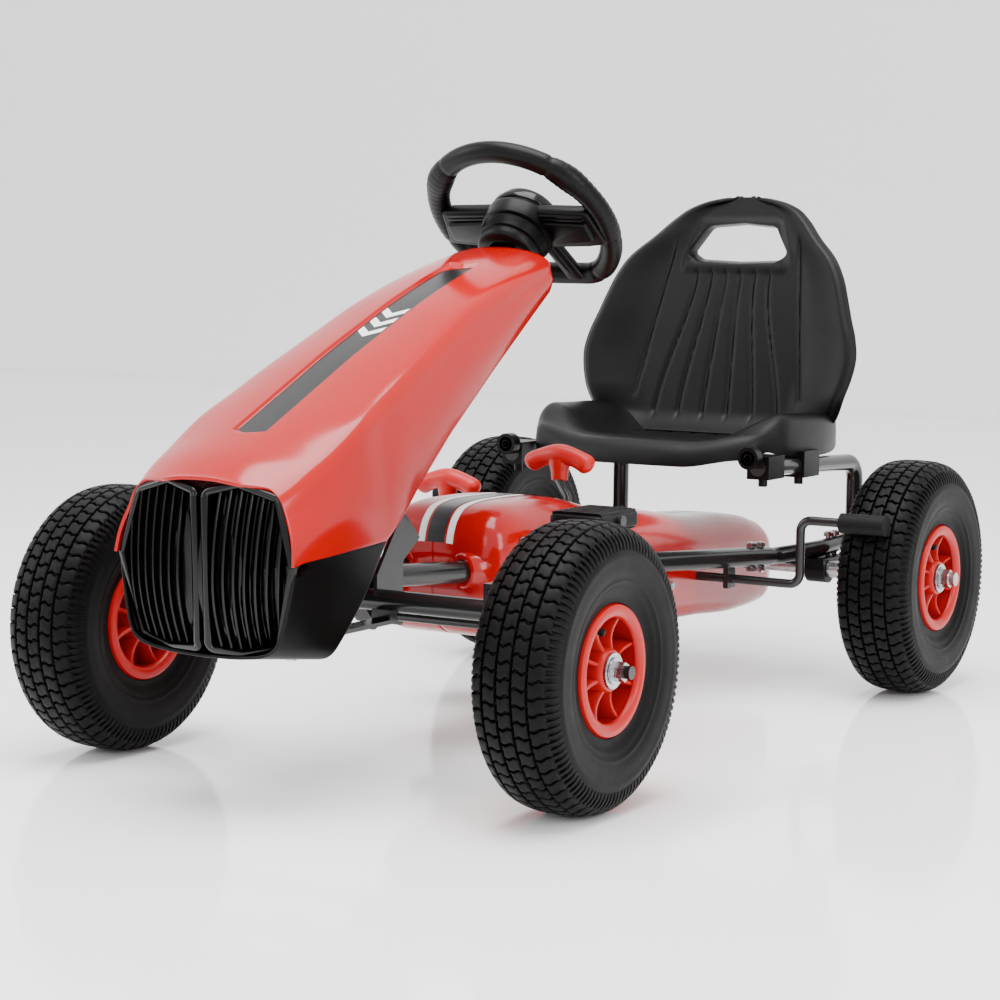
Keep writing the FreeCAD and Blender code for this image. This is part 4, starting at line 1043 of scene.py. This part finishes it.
@dataclass(frozen=True)
class Rim:
    """Red plastic rim with ribs between its hub and its drum."""

    ribs: int = 8
    rib_half: float = 1.9
    lip: tuple = ((30.5, 46.5), (33.5, 47.0), (35.6, 49.0), (36.4, 52.0), (36.6, 55.0), (35.4, 58.0),
                  (32.0, 59.5),
                  (26.0, 58.5), (20.0, 54.0), (0.0, 52.5))
    dish: tuple = ((0.0, 50.0), (16.0, 49.6), (27.5, 48.6), (30.0, 47.4), (30.5, 46.5))
    hub: tuple = ((6.0, 20.5), (26.0, 20.0), (31.5, 19.2), (33.0, 18.0), (33.4, 16.0))
    web: float = 7.0

    def build(self, made: Sketch, centre: Point, side: int) -> None:
        """Add the rim.

        Args:
            made: where it goes.
            centre: the wheel's middle.
            side: +1 where the wheel's outside is the kart's left.
        """
        for face in (side, -side):
            axis = (face, 0, 0)
            made.grid(lathe(self.dish + self.lip[1:], centre, axis, 96)[:, ::-1], loop_rows=True)
            made.grid(lathe(self.hub, centre, axis, 64), loop_rows=True)
            made.grid(lathe([(33.4, 16.0), (30.0, 15.6), (20.0, 15.6)], centre, axis, 64), loop_rows=True)
            made.grid(lathe([(self.web, 50.0), (self.web - 0.5, 35.0), (self.web, 20.0)], centre, axis, 64),
                      loop_rows=True)
            for k in range(self.ribs):
                self.rib(made, centre, face, 2.0 * math.pi * (k + 0.5) / self.ribs)

    def rib(self, made: Sketch, centre: Point, face: int, angle: float) -> None:
        """Add one rib, with a rounded crest that dips between hub and drum.

        Args:
            made: where it goes.
            centre: the wheel's middle.
            face: side of the wheel it is on.
            angle: its place round the wheel.
        """
        out = np.array([0.0, math.cos(angle), math.sin(angle)])
        across = np.array([0.0, -math.sin(angle), math.cos(angle)])
        rows = []
        for r in np.linspace(17.5, 49.5, 13):
            crest = 30.5 - 4.5 * math.sin(math.pi * (r - 17.5) / 32.0)
            row = []
            for w, h in ((-1.25, 6.0), (-1.0, crest - 1.2), (-0.6, crest - 0.2), (0.6, crest - 0.2),
                         (1.0, crest - 1.2), (1.25, 6.0)):
                away = out * r + across * w * self.rib_half + np.array([face * h, 0.0, 0.0])
                row.append(np.array(centre) + away)
            rows.append(row if face > 0 else row[::-1])
        made.grid(np.array(rows))


@dataclass(frozen=True)
class Wheel:
    """One wheel: its tyre and rim, on its own CAD body."""

    corner: str
    body: str
    side: int
    tyre: Tyre = Tyre()
    rim: Rim = Rim()

    def build(self) -> None:
        """Build the tyre and the rim."""
        centre = kart_middle(f"tyre_{self.corner}")
        made = Sketch()
        self.tyre.carcass(made, centre)
        self.tyre.tread(made, centre)
        made.piece(f"tyre_shell_{self.corner}", TYRE_RUBBER, self.body, "tyre", [f"tyre_{self.corner}"],
                   sharp=38)
        made = Sketch()
        self.rim.build(made, centre, self.side)
        made.piece(f"rim_shell_{self.corner}", RED_PP, self.body, "red_wheel_plastic", [f"rim_{self.corner}"],
                   sharp=40)
        self.valve(centre)

    def valve(self, centre: Point) -> None:
        """Rubber valve stem that stands out of the rim's dish.

        Args:
            centre: the wheel's middle.
        """
        angle = 2.1
        out = np.array([0.0, math.cos(angle), math.sin(angle)])
        foot = np.array(centre) + out * 47.0 + np.array([self.side * 22.0, 0.0, 0.0])
        axis = np.array([self.side * 1.0, 0.0, 0.0]) - out * 0.35
        made = Sketch()
        made.grid(lathe([(-4, 4.2), (0, 4.0), (3, 3.2), (9, 2.8), (9.4, 3.4), (15, 3.4), (16, 2.6),
                         (16.2, 0.1)],
                        tuple(foot), tuple(axis), 20), loop_rows=True)
        made.piece(f"valve_{self.corner}", SOFT_RUBBER, self.body, "rubber")


# ---- steering wheel -----------------------------------------------------------------
@dataclass(frozen=True)
class SteeringWheel:
    """D-shaped moulded steering wheel, square to the sloping column."""

    centre: Point = (0.0, 330.0, 521.0)
    reach: float = 95.0
    flat: float = 75.0
    rim: float = 11.6
    slope: float = math.pi / 4

    def at(self, along: Array, down: Array, x: Array) -> Array:
        """Point from its distance along the column, down the wheel's face and across.

        Args:
            along: along the column, to the driver.
            down: down the wheel's face.
            x: across.

        Returns:
            Points, last axis x, y, z.
        """
        c, s = math.cos(self.slope), math.sin(self.slope)
        along, down, x = np.broadcast_arrays(np.asarray(along, float), np.asarray(down, float),
                                             np.asarray(x, float))
        return np.stack([self.centre[0] + x, self.centre[1] + along * c + down * c,
                         self.centre[2] + along * s - down * s], axis=-1)

    def path(self, count: int) -> tuple[Array, Array, Array]:
        """Centre line of the rim: angle from the top, down and across at each point.

        Args:
            count: points round it.

        Returns:
            Angle, down and across at each point.
        """
        angle = ring(count)
        down, x = -self.reach * np.cos(angle), self.reach * np.sin(angle)
        soft = 10.0
        over = self.flat + soft - down
        bent = self.flat + soft - 0.9 * np.sqrt(over ** 2 / 2 + soft ** 2 + 0.5 * over * np.abs(over))
        down = np.where(down > self.flat - soft, bent, down)
        down = np.minimum(down, self.flat + 1.5)
        return angle, down, x

    def rim_mesh(self, made: Sketch) -> None:
        """Add the rim with its thumb rests and seams.

        Args:
            made: where it goes.
        """
        angle, down, x = self.path(240)
        turn = np.degrees(np.where(angle > math.pi, angle - 2 * math.pi, angle))
        r = np.full(len(angle), self.rim)
        for mark in (-52.0, 52.0):
            r += 2.2 * np.exp(-((turn - mark) / 11.0) ** 2)
        for mark in (-104.0, -38.0, 38.0, 104.0, -140.0, 140.0):
            r -= 1.4 * np.exp(-((turn - mark) / 1.2) ** 2)
        grip = np.exp(-((np.abs(turn) - 71.0) / 30.0) ** 8)
        r += 0.35 * grip * np.cos(np.radians(turn) * 90.0)
        normal = self.at(1.0, 0.0, 0.0) - self.at(0.0, 0.0, 0.0)
        made.grid(sweep(self.at(0.0, down, x), r, 28, 0.92, tuple(normal), closed=True), loop_rows=True,
                  loop_columns=True)

    def spoke(self, made: Sketch, corners: Sequence[tuple[float, float]], low: float, high: float,
              radius: float) -> None:
        """Add a flat moulded plate in the wheel's plane.

        Args:
            made: where it goes.
            corners: (x, down) outline.
            low: its face away from the driver, along the column.
            high: its face to the driver.
            radius: rounding of its corners.
        """
        outline = rounded(corners, radius, 5)
        area = np.sum(outline[:, 0] * np.roll(outline[:, 1], -1) - np.roll(outline[:, 0], -1) * outline[:, 1])
        if area < 0:
            outline = outline[::-1]
        lines = []
        for along, shrink in ((high, 2.4), (high - 0.6, 1.0), (high - 2.0, 0.0), (low + 2.0, 0.0),
                              (low + 0.6, 1.0),
                              (low, 2.4)):
            edge = inset(outline, shrink)
            lines.append(self.at(along, edge[:, 1], edge[:, 0]))
        made.grid(np.array(lines), loop_columns=True, cap_start=True, cap_end=True)

    def spokes(self, made: Sketch) -> None:
        """Add the side and lower spokes, with their steps and ribs.

        Args:
            made: where they go.
        """
        for side in (-1, 1):
            self.spoke(made, [(side * a, b) for a, b in ((20, -25), (86, -22), (93, 22), (72, 25), (20, 27))],
                       -13.0, -1.0, 6.0)
            self.spoke(made, [(side * a, b) for a, b in ((24, -13), (82, -10), (84, 14), (24, 20))], -18.0,
                       3.0, 5.0)
            for down in (-20.5, -16.0):
                self.spoke(made, [(side * a, down + b) for a, b in ((28, -1.3), (80, 0.4), (80, 2.8),
                                                                    (28, 1.3))],
                           -16.0, 1.0, 1.1)
            self.spoke(made, [(side * a, b) for a, b in ((12, 18), (30, 14), (47, 76), (27, 76))], -11.0,
                       -2.0, 5.0)
            self.spoke(made, [(side * a, b) for a, b in ((17, 24), (28, 24), (39, 66), (30, 66))], -14.0,
                       0.5, 3.0)

    def hub(self, made: Sketch) -> None:
        """Add the bell-shaped cup round the column.

        Args:
            made: where it goes.
        """
        c, s = math.cos(self.slope), math.sin(self.slope)
        profile = [(-50, 19), (-50, 29.5), (-48.5, 31.5), (-45, 32.5), (-41, 33), (-40, 31.6), (-38.5, 31.6),
                   (-37.5, 34),
                   (-26, 35.5), (-24.5, 34.4), (-23.5, 34.4), (-22.5, 37.2), (-8, 38.5), (-5.5, 38),
                   (-4, 36.5), (-2, 35)]
        made.grid(lathe(profile, self.centre, (0.0, c, s), 72), loop_rows=True)

    def build(self) -> None:
        """Build the wheel and its cap."""
        made = Sketch()
        self.rim_mesh(made)
        self.spokes(made)
        self.hub(made)
        made.piece("steering_wheel_moulding", BLACK_PP, Follows.STEERING.value, "black_satin_plastic",
                   ["steering_wheel"], sharp=42)
        c, s = math.cos(self.slope), math.sin(self.slope)
        cap = Sketch()
        cap.grid(lathe([(-6, 33), (-2, 36.4), (2, 37), (5, 36.4), (6, 35), (6.4, 33.6), (12, 33), (14.5, 31.6),
                        (15.2, 30), (19, 26), (22, 18), (23.6, 9), (24, 0.05)], self.centre, (0.0, c, s), 64),
                 loop_rows=True)
        cap.piece("steering_cap_dome", BLACK_ABS, Follows.STEERING.value, "black_gloss_plastic",
                  ["steering_cap"])


# ---- seat ---------------------------------------------------------------------------
@dataclass(frozen=True)
class Seat:
    """Blow moulded seat: a dished pan and a tall back with flutes and a hand hole."""

    back_half: tuple = ((275, 141), (284, 146), (300, 157), (320, 166), (345, 174), (367, 177), (390, 173),
                        (412, 165),
                        (435, 157), (458, 148), (480, 134), (503, 109), (526, 86), (538, 69), (546, 46),
                        (551.5, 14))
    back_foot: tuple = (772.0, 296.0)
    back_head: tuple = (850.0, 551.0)
    pan_half: tuple = ((560, 140), (580, 148), (610, 156), (650, 160), (700, 162), (740, 160), (780, 152),
                       (797, 144))
    pan_floor: tuple = ((560, 281), (600, 282), (650, 278), (720, 276), (770, 279), (797, 288))
    pan_lip: float = 27.0
    pan_lip_depth: float = 22.0
    cove_forward: float = 16.0
    cove_height: float = 26.0
    wall: float = 5.0
    hole: tuple = ((-50, 474), (0, 472), (50, 474), (68, 484), (46, 519), (0, 523), (-46, 519), (-68, 484))

    def back_line(self, z: Array) -> Array:
        """Y of the back's middle at a height.

        Args:
            z: heights.

        Returns:
            The y at each height.
        """
        (y0, z0), (y1, z1) = self.back_foot, self.back_head
        t = (z - z0) / (z1 - z0)
        return y0 + (y1 - y0) * t - 7.0 * np.sin(np.pi * np.clip(t, 0, 1))

    def back(self) -> bpy.types.Object:
        """Build the back.

        Returns:
            The back, one skin thick until it is given its wall.
        """
        foot = self.back_half[0][0] + 0.5
        z = np.concatenate([np.linspace(foot, 540, 89), np.linspace(541.5, 551.5, 14)])
        half = curve_through([p[0] for p in self.back_half], [p[1] for p in self.back_half], z)
        share = np.linspace(-1.0, 1.0, 141)
        rows, across = np.meshgrid(z, share, indexing="ij")
        width = half[:, None]
        x = across * width
        from_edge = width * (1.0 - np.abs(across))
        rise = smooth(284.0, 330.0, rows)
        wane = 1.0 - 0.55 * smooth(470, 545, rows)
        wrap = -21.0 * smooth(0.55, 1.0, np.abs(across)) * (0.35 + 0.65 * rise) * wane
        rolled = 7.5 * (1.0 - smooth(0.0, 9.0, from_edge))
        cove = -self.cove_forward * (1.0 - np.clip((rows - foot) / self.cove_height, 0.0, 1.0)) ** 2
        y = self.back_line(rows) + cove + wrap + rolled + self.flutes(x, rows)
        lip = 6.0 * (1.0 - smooth(0.0, 10.0, np.abs(self.hole_distance(x, rows))))
        y = y - lip * 0.5
        made = Sketch()
        made.grid(np.stack([x, y, rows], axis=-1))
        return made.piece("seat_back_shell", SEAT_HDPE, Follows.SEAT.value, "black_satin_plastic", sharp=60)

    def flutes(self, x: Array, z: Array) -> Array:
        """Depth of the fan of grooves and the two long side grooves.

        Args:
            x: across the back.
            z: height.

        Returns:
            How deep the grooves are there.
        """
        live = smooth(286.0, 300.0, z) * (1.0 - smooth(462.0, 468.0, z))
        height = np.clip((z - 300.0) / 146.0, 0.0, 1.0)
        spread = 19.0 + 13.0 * (1.0 - smooth(300.0, 446.0, z) * 0.5 - height * 0.5)
        depth = np.zeros_like(x)
        for k in range(6):
            depth += 2.6 * np.exp(-((x - (k - 2.5) * spread) / 1.9) ** 2) * live
        for side in (-1, 1):
            lane = side * (108.0 - 28.0 * (z - 315.0) / 190.0)
            ends = smooth(312.0, 318.0, z) * (1.0 - smooth(500.0, 508.0, z))
            depth += 2.6 * np.exp(-((x - lane) / 2.0) ** 2) * ends
        return depth

    def hole_distance(self, x: Array, z: Array) -> Array:
        """Rough distance outside the hand hole's edge.

        Args:
            x: across the back.
            z: height.

        Returns:
            Distance, negative inside the hole.
        """
        dx = np.abs(x) - (60.0 - 10.0 * np.clip((z - 482.0) / 37.0, -0.2, 1.0))
        dz = np.abs(z - 494.5) - 24.5
        outside = np.sqrt(np.clip(dx, 0, None) ** 2 + np.clip(dz, 0, None) ** 2)
        return outside + np.minimum(np.maximum(dx, dz), 0.0)

    def pan(self) -> bpy.types.Object:
        """Build the pan: a dished floor inside a rolled rim that rises at the sides.

        Returns:
            The pan.
        """
        turn = np.linspace(0.0, math.pi / 2, 12)
        front = self.pan_half[0][0]
        lip_y = front + self.pan_lip_depth * (1.0 - np.cos(turn))
        lip_z = -self.pan_lip * (1.0 - np.sin(turn))
        y = np.concatenate([lip_y, np.linspace(585, 797, 72)])
        sink = np.concatenate([lip_z, np.zeros(72)])
        half = curve_through([p[0] for p in self.pan_half], [p[1] for p in self.pan_half], y)[:, None]
        floor = curve_through([p[0] for p in self.pan_floor], [p[1] for p in self.pan_floor], y)[:, None]
        share = np.concatenate([np.linspace(0.0, 0.8, 44), np.linspace(0.815, 1.0, 20)])
        share = np.concatenate([-share[:0:-1], share])
        rows, across = np.meshgrid(y, share, indexing="ij")
        s = np.abs(across)
        wing = 9.0 + 25.0 * smooth(575, 650, rows) - 6.0 * smooth(720, 795, rows)
        edge = np.clip((s - 0.84) / 0.16, 0.0, 1.0)
        z = floor + wing * smooth(0.42, 0.86, s) + sink[:, None] * (1.0 - 0.5 * edge)
        fall = 1.0 - np.sqrt(np.clip(1.0 - edge ** 2, 0.0, 1.0))
        z -= (wing + 14.0 - 6.0 * (1.0 - smooth(560, 600, rows))) * fall
        x = np.sign(across) * half * (np.minimum(s, 0.84) / 0.84 * 0.90 + 0.10 * np.sin(edge * math.pi / 2))
        spread = 32.0 - 4.0 * smooth(720, 790, rows)
        for k in range(6):
            lane = (k - 2.5) * spread
            z -= 2.2 * np.exp(-((x - lane) / 2.0) ** 2) * smooth(700, 740, rows)
        bow = 38.0 * s ** 3.0 * (1.0 - smooth(560, 660, rows))
        made = Sketch()
        made.grid(np.stack([x, rows + bow, z], axis=-1))
        return made.piece("seat_pan_shell", SEAT_HDPE, Follows.SEAT.value, "black_satin_plastic", ["seat"],
                          sharp=60)

    def hole_wall(self) -> None:
        """Wall that joins the two skins of the back round the hand hole."""
        outline = rounded(self.hole, 16.0, 8)
        rows = []
        for back, shrink in ((-2.4, -1.2), (-2.8, -0.2), (-1.5, 1.0), (4.0, 2.2), (14.0, 4.0), (17.0, 3.2),
                             (17.5, 1.0)):
            edge = inset(outline, shrink)
            rows.append(np.stack([edge[:, 0], self.back_line(edge[:, 1]) + back, edge[:, 1]], axis=1))
        made = Sketch()
        made.grid(np.array(rows), loop_columns=True)
        made.piece("seat_hand_hole_wall", SEAT_HDPE, Follows.SEAT.value, "black_satin_plastic", sharp=60)

    def cut_hole(self, back: bpy.types.Object) -> None:
        """Cut the hand hole through the back with rounded edges.

        Args:
            back: the back, already given its wall.
        """
        cutter = Sketch()
        outline = rounded(self.hole, 16.0, 8)
        rows = [np.stack([outline[:, 0], np.full(len(outline), y), outline[:, 1]], axis=1)
                for y in (740.0, 900.0)]
        cutter.grid(np.array(rows), loop_columns=True, cap_start=True, cap_end=True)
        mesh = bpy.data.meshes.new("hand_hole")
        mesh.from_pydata(place(np.concatenate(cutter.points)).tolist(), [], cutter.faces)
        mesh.flip_normals()
        tool = bpy.data.objects.new("hand_hole", mesh)
        bpy.context.scene.collection.objects.link(tool)
        modify(back, "BOOLEAN", operation="DIFFERENCE", object=tool, solver="EXACT")
        view_layer = bpy.context.view_layer
        view_layer.update()
        solid = bpy.data.meshes.new_from_object(back.evaluated_get(bpy.context.evaluated_depsgraph_get()))
        back.modifiers.clear()
        back.data = solid
        bpy.data.objects.remove(tool)
        modify(back, "BEVEL", width=1.6 * MM, segments=3, limit_method="ANGLE", angle_limit=math.radians(55))

    def build(self) -> None:
        """Build the seat."""
        back = self.back()
        modify(back, "SOLIDIFY", thickness=self.wall * MM, offset=0.0)
        self.cut_hole(back)
        self.hole_wall()
        pan = self.pan()
        modify(pan, "SOLIDIFY", thickness=self.wall * MM, offset=-1.0)
        modify(pan, "BEVEL", width=1.4 * MM, segments=3, limit_method="ANGLE", angle_limit=math.radians(55))


# ---- grips, pedals and knobs --------------------------------------------------------
@dataclass(frozen=True)
class TeeGrip:
    """Drooping T-shaped grip on a lever's end."""

    name: str
    body: Follows
    node: str
    top: Point
    lean: Point
    half: float = 39.0
    radius: float = 11.5

    def build(self) -> None:
        """Build the grip."""
        made = Sketch()
        t = np.linspace(-1.0, 1.0, 49)
        x = self.top[0] + self.half * t
        z = self.top[2] + 3.0 - 13.0 * np.abs(t) ** 2.0
        y = np.full_like(t, self.top[1])
        ends = np.sqrt(np.clip(1.0 - (np.clip(np.abs(t) - 0.84, 0, 1) / 0.16) ** 2, 0.0004, 1.0))
        swell = 0.92 + 0.16 * np.exp(-(t / 0.35) ** 2) + 0.08 * np.exp(-((np.abs(t) - 0.8) / 0.2) ** 2)
        r = self.radius * swell * ends
        made.grid(sweep(np.stack([x, y, z], axis=1), r, 24, 0.9), loop_columns=True, cap_start=True,
                  cap_end=True)
        down = [-c for c in self.lean]
        made.grid(lathe([(0.0, 12.5), (6.0, 12.0), (10.0, 10.4), (14.0, 9.4), (21.0, 9.0), (23.0, 8.4),
                         (23.6, 7.0)],
                        (self.top[0], self.top[1], self.top[2] - 1.0), tuple(down), 32), loop_rows=True)
        made.piece(self.name, RED_GRIP, self.body.value, "red_grip_plastic", [self.node], sharp=60)


@dataclass(frozen=True)
class Pedal:
    """Block pedal with tread ribs and end plates."""

    name: str
    body: Follows
    node: str
    length: float = 80.0
    width: float = 58.0
    height: float = 21.0

    def build(self) -> None:
        """Build the pedal."""
        cx, cy, cz = kart_middle(self.node)
        made = Sketch()
        hl, hw, hh = self.length / 2, self.width / 2, self.height / 2
        outline = rounded([(-hl, -hw), (hl, -hw), (hl, hw), (-hl, hw)], 7.0, 6)
        lines = []
        for z, shrink in ((hh - 3.0, 3.0), (hh - 3.6, 1.0), (hh - 5.0, 0.0), (-hh + 5.0, 0.0), (-hh + 3.6, 1.0),
                          (-hh + 3.0, 3.0)):
            edge = inset(outline, shrink)
            lines.append(np.stack([cx + edge[:, 1], cy + edge[:, 0], np.full(len(edge), cz + z)], axis=1))
        made.grid(np.array(lines)[:, ::-1], loop_columns=True, cap_start=True, cap_end=True)
        for face in (-1, 1):
            for k in range(8):
                y = cy - hl + 8.0 + k * (self.length - 16.0) / 7
                made.block((cx - hw + 4.0, y - 1.7, cz + face * (hh - 3.4) - 0.5),
                           (cx + hw - 4.0, y + 1.7, cz + face * (hh - 0.4) + 0.5))
            for x in (-hw + 3.0, hw - 3.0):
                made.block((cx + x - 1.5, cy - hl + 5.0, cz + face * (hh - 3.4) - 0.5),
                           (cx + x + 1.5, cy + hl - 5.0, cz + face * (hh - 0.8) + 0.4))
        piece = made.piece(self.name, BLACK_PP, self.body.value, "black_satin_plastic", [self.node], sharp=40)
        modify(piece, "BEVEL", width=0.7 * MM, segments=2, limit_method="ANGLE", angle_limit=math.radians(50))


@dataclass(frozen=True)
class StarKnob:
    """Lobed hand knob that clamps the seat to its rail."""

    node: str
    lobes: int = 7

    def build(self) -> None:
        """Build the knob over its CAD node's box."""
        low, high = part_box(self.node)
        cx, cy, cz = kart_middle(self.node)
        ends = (low[1] - ORIGIN_Y) / MM, (high[1] - ORIGIN_Y) / MM
        radius = (high[2] - low[2]) / MM / 2.0
        angles = ring(84)
        rows = []
        for y, share in ((ends[0], 0.05), (ends[0], 0.7), (ends[0] + 0.6, 0.86), (ends[0] + 2.0, 0.97),
                         (ends[0] + 5.0, 1.0), (ends[0] + 9.5, 0.97), (ends[0] + 11.0, 0.85),
                         (ends[0] + 11.2, 0.5)):
            notch = 0.09 * (0.5 - 0.5 * np.cos(self.lobes * angles)) ** 2 * smooth(0.5, 0.9, share)
            r = radius * share * (1.0 - notch)
            rows.append(np.stack([cx + r * np.cos(angles), np.full_like(angles, y), cz + r * np.sin(angles)],
                                 axis=1))
        made = Sketch()
        made.grid(np.array(rows), loop_columns=True)
        made.grid(lathe([(0.0, 4.0), (1.0, 7.0)], (cx, ends[0] - 0.2, cz), (0, 1, 0), 24), loop_rows=True)
        made.piece(f"{self.node}_lobes", BLACK_PP, self.node.replace("seat_knob", "knob"),
                   "black_satin_plastic")


# ---- CAD pieces that show as they are -----------------------------------------------
FINISH_OF_SLOT: dict[str, Finish] = {
    "tyre": TYRE_RUBBER, "red_wheel_plastic": RED_PP, "rubber": SOFT_RUBBER, "zinc_steel": ZINC,
    "oiled_steel": CHAIN_STEEL, "black_powder_coat": POWDER, "red_body_plastic": RED_ABS,
    "red_grip_plastic": RED_GRIP, "black_gloss_plastic": BLACK_ABS, "black_satin_plastic": BLACK_PP,
}
FINISH_OF_NODE: dict[str, Finish] = {"column_bushes": NYLON, "crank_bushes": NYLON, "seat_shoes": BLACK_PP}


def dress_cad() -> None:
    """Give every CAD node a finish, from its own name or from its material slot."""
    for name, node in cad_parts.items():
        finish = FINISH_OF_NODE.get(name)
        for material_slot in node.material_slots:
            known = material_slot.material.name.split(".")[0] if material_slot.material else ""
            chosen = finish or next((f for key, f in FINISH_OF_SLOT.items() if known.endswith(key)), POWDER)
            material_slot.link = "OBJECT"
            material_slot.material = chosen.make()
        if not node.material_slots:
            node.data.materials.append((finish or POWDER).make())
        LOG.info("%s keeps its CAD mesh", name)


# ---- floor, light and camera --------------------------------------------------------
@dataclass(frozen=True)
class Studio:
    """Pale sweep with soft boxes, and the camera."""

    camera_place: Point = (1.3675, -2.2883, 0.5145)
    yaw: float = math.radians(31.122)
    pitch: float = math.radians(5.852)
    roll: float = math.radians(0.631)
    lens: float = 93.457
    shift: tuple[float, float] = (-0.0075, -0.0075)

    def floor(self) -> None:
        """Glossy white floor that curves up behind the kart."""
        profile = [(-8.0, 0.0), (4.5, 0.0)]
        for a in np.linspace(0.1, math.pi / 2, 12):
            profile.append((4.5 + 2.5 * math.sin(a), 2.5 - 2.5 * math.cos(a)))
        profile.append((7.0, 9.0))
        rows = [[(-14.0, y, z), (14.0, y, z)] for y, z in profile]
        points = [p for row in rows for p in row]
        faces = [(2 * i, 2 * i + 1, 2 * i + 3, 2 * i + 2) for i in range(len(rows) - 1)]
        mesh = bpy.data.meshes.new("studio_floor")
        mesh.from_pydata(points, [], faces)
        mesh.polygons.foreach_set("use_smooth", [True] * len(mesh.polygons))
        sweep_piece = bpy.data.objects.new("studio_floor", mesh)
        bpy.context.scene.collection.objects.link(sweep_piece)
        # Lacquered white studio board: almost matt, with a faint mirror near the feet.
        board = Finish("white_lacquered_board", "#FCFCFC", "#FAFAFA", 0.1, 0.02, grain_mm=3.0, grain_height=0.0,
                       cloud_mm=900.0, specular=0.6)
        mesh.materials.append(board.make())

    def soft_box(self, name: str, place_at: Point, look_at: Point, size: tuple[float, float],
                 power: float) -> None:
        """Rectangular area light.

        Args:
            name: its name.
            place_at: where it hangs, in metres.
            look_at: what it faces.
            size: width and height in metres.
            power: watts.
        """
        data = bpy.data.lights.new(name, "AREA")
        data.shape, data.size, data.size_y, data.energy = "RECTANGLE", size[0], size[1], power
        lamp = bpy.data.objects.new(name, data)
        lamp.location = place_at
        lamp.rotation_euler = (Vector(look_at) - Vector(place_at)).to_track_quat("-Z", "Y").to_euler()
        bpy.context.scene.collection.objects.link(lamp)

    def lights(self) -> None:
        """Big overhead box, side boxes and an even white surround."""
        self.soft_box("key_over", (0.2, -0.4, 3.0), (0.0, 0.0, 0.2), (2.2, 2.4), 190.0)
        self.soft_box("side_left", (3.0, -0.8, 1.5), (0.0, 0.0, 0.3), (0.9, 2.2), 60.0)
        self.soft_box("side_right", (-2.8, -1.6, 1.7), (0.0, 0.0, 0.3), (0.9, 2.2), 50.0)
        self.soft_box("front", (0.3, -3.6, 1.9), (0.0, 0.0, 0.3), (2.2, 1.2), 24.0)
        world = bpy.data.worlds.new("white_surround")
        world.use_nodes = True
        backdrop = world.node_tree.nodes["Background"]
        backdrop.inputs["Color"].default_value = (1.0, 1.0, 1.0, 1.0)
        backdrop.inputs["Strength"].default_value = 1.7
        bpy.context.scene.world = world

    def camera(self) -> None:
        """Place the camera."""
        cy, sy = math.cos(self.yaw), math.sin(self.yaw)
        cp, sp = math.cos(self.pitch), math.sin(self.pitch)
        ahead = Vector((-sy * cp, cy * cp, -sp))
        right = Vector((cy, sy, 0.0))
        up = right.cross(ahead)
        cr, sr = math.cos(self.roll), math.sin(self.roll)
        across, above = right * cr + up * sr, -right * sr + up * cr
        data = bpy.data.cameras.new("photo_camera")
        data.lens, data.sensor_width = self.lens, 36.0
        data.shift_x, data.shift_y = self.shift
        data.clip_end = 60.0
        made = bpy.data.objects.new("photo_camera", data)
        turn = Matrix((across, above, -ahead)).transposed().to_4x4()
        made.matrix_world = Matrix.Translation(Vector(self.camera_place)) @ turn
        bpy.context.scene.collection.objects.link(made)
        bpy.context.scene.camera = made

    def build(self) -> None:
        """Build the studio."""
        self.floor()
        self.lights()
        self.camera()


def build_kart() -> list[Callable[[], None]]:
    """The builders of the kart's pieces, in order.

    Returns:
        One build method for each part.
    """
    wheels = [Wheel("front_left", "wheel_front_left", 1), Wheel("front_right", "wheel_front_right", -1),
              Wheel("rear_left", "rear_axle", 1), Wheel("rear_right", "wheel_rear_right", -1)]
    grips = [TeeGrip("brake_grip_tee", Follows.BRAKE, "brake_grip", (-176.0, 466.0, 232.0), (0.0, 0.12, 1.0)),
             TeeGrip("gear_grip_tee", Follows.GEAR, "gear_grip", (0.0, 409.0, 272.0), (0.0, 0.0, 1.0))]
    pedals = [Pedal("pedal_block_left", Follows.PEDAL_LEFT, "pedal_left"),
              Pedal("pedal_block_right", Follows.PEDAL_RIGHT, "pedal_right")]
    knobs = [StarKnob("seat_knob_left"), StarKnob("seat_knob_right")]
    parts = [Hood(), Grille(), Fairing(), Cover(), *wheels, SteeringWheel(), Seat(), *grips, *pedals, *knobs]
    return [part.build for part in parts]


def main() -> None:
    """Build the kart and its studio."""
    dress_cad()
    for build in build_kart():
        build()
    Studio().build()


if __name__ == "__main__":
    main()
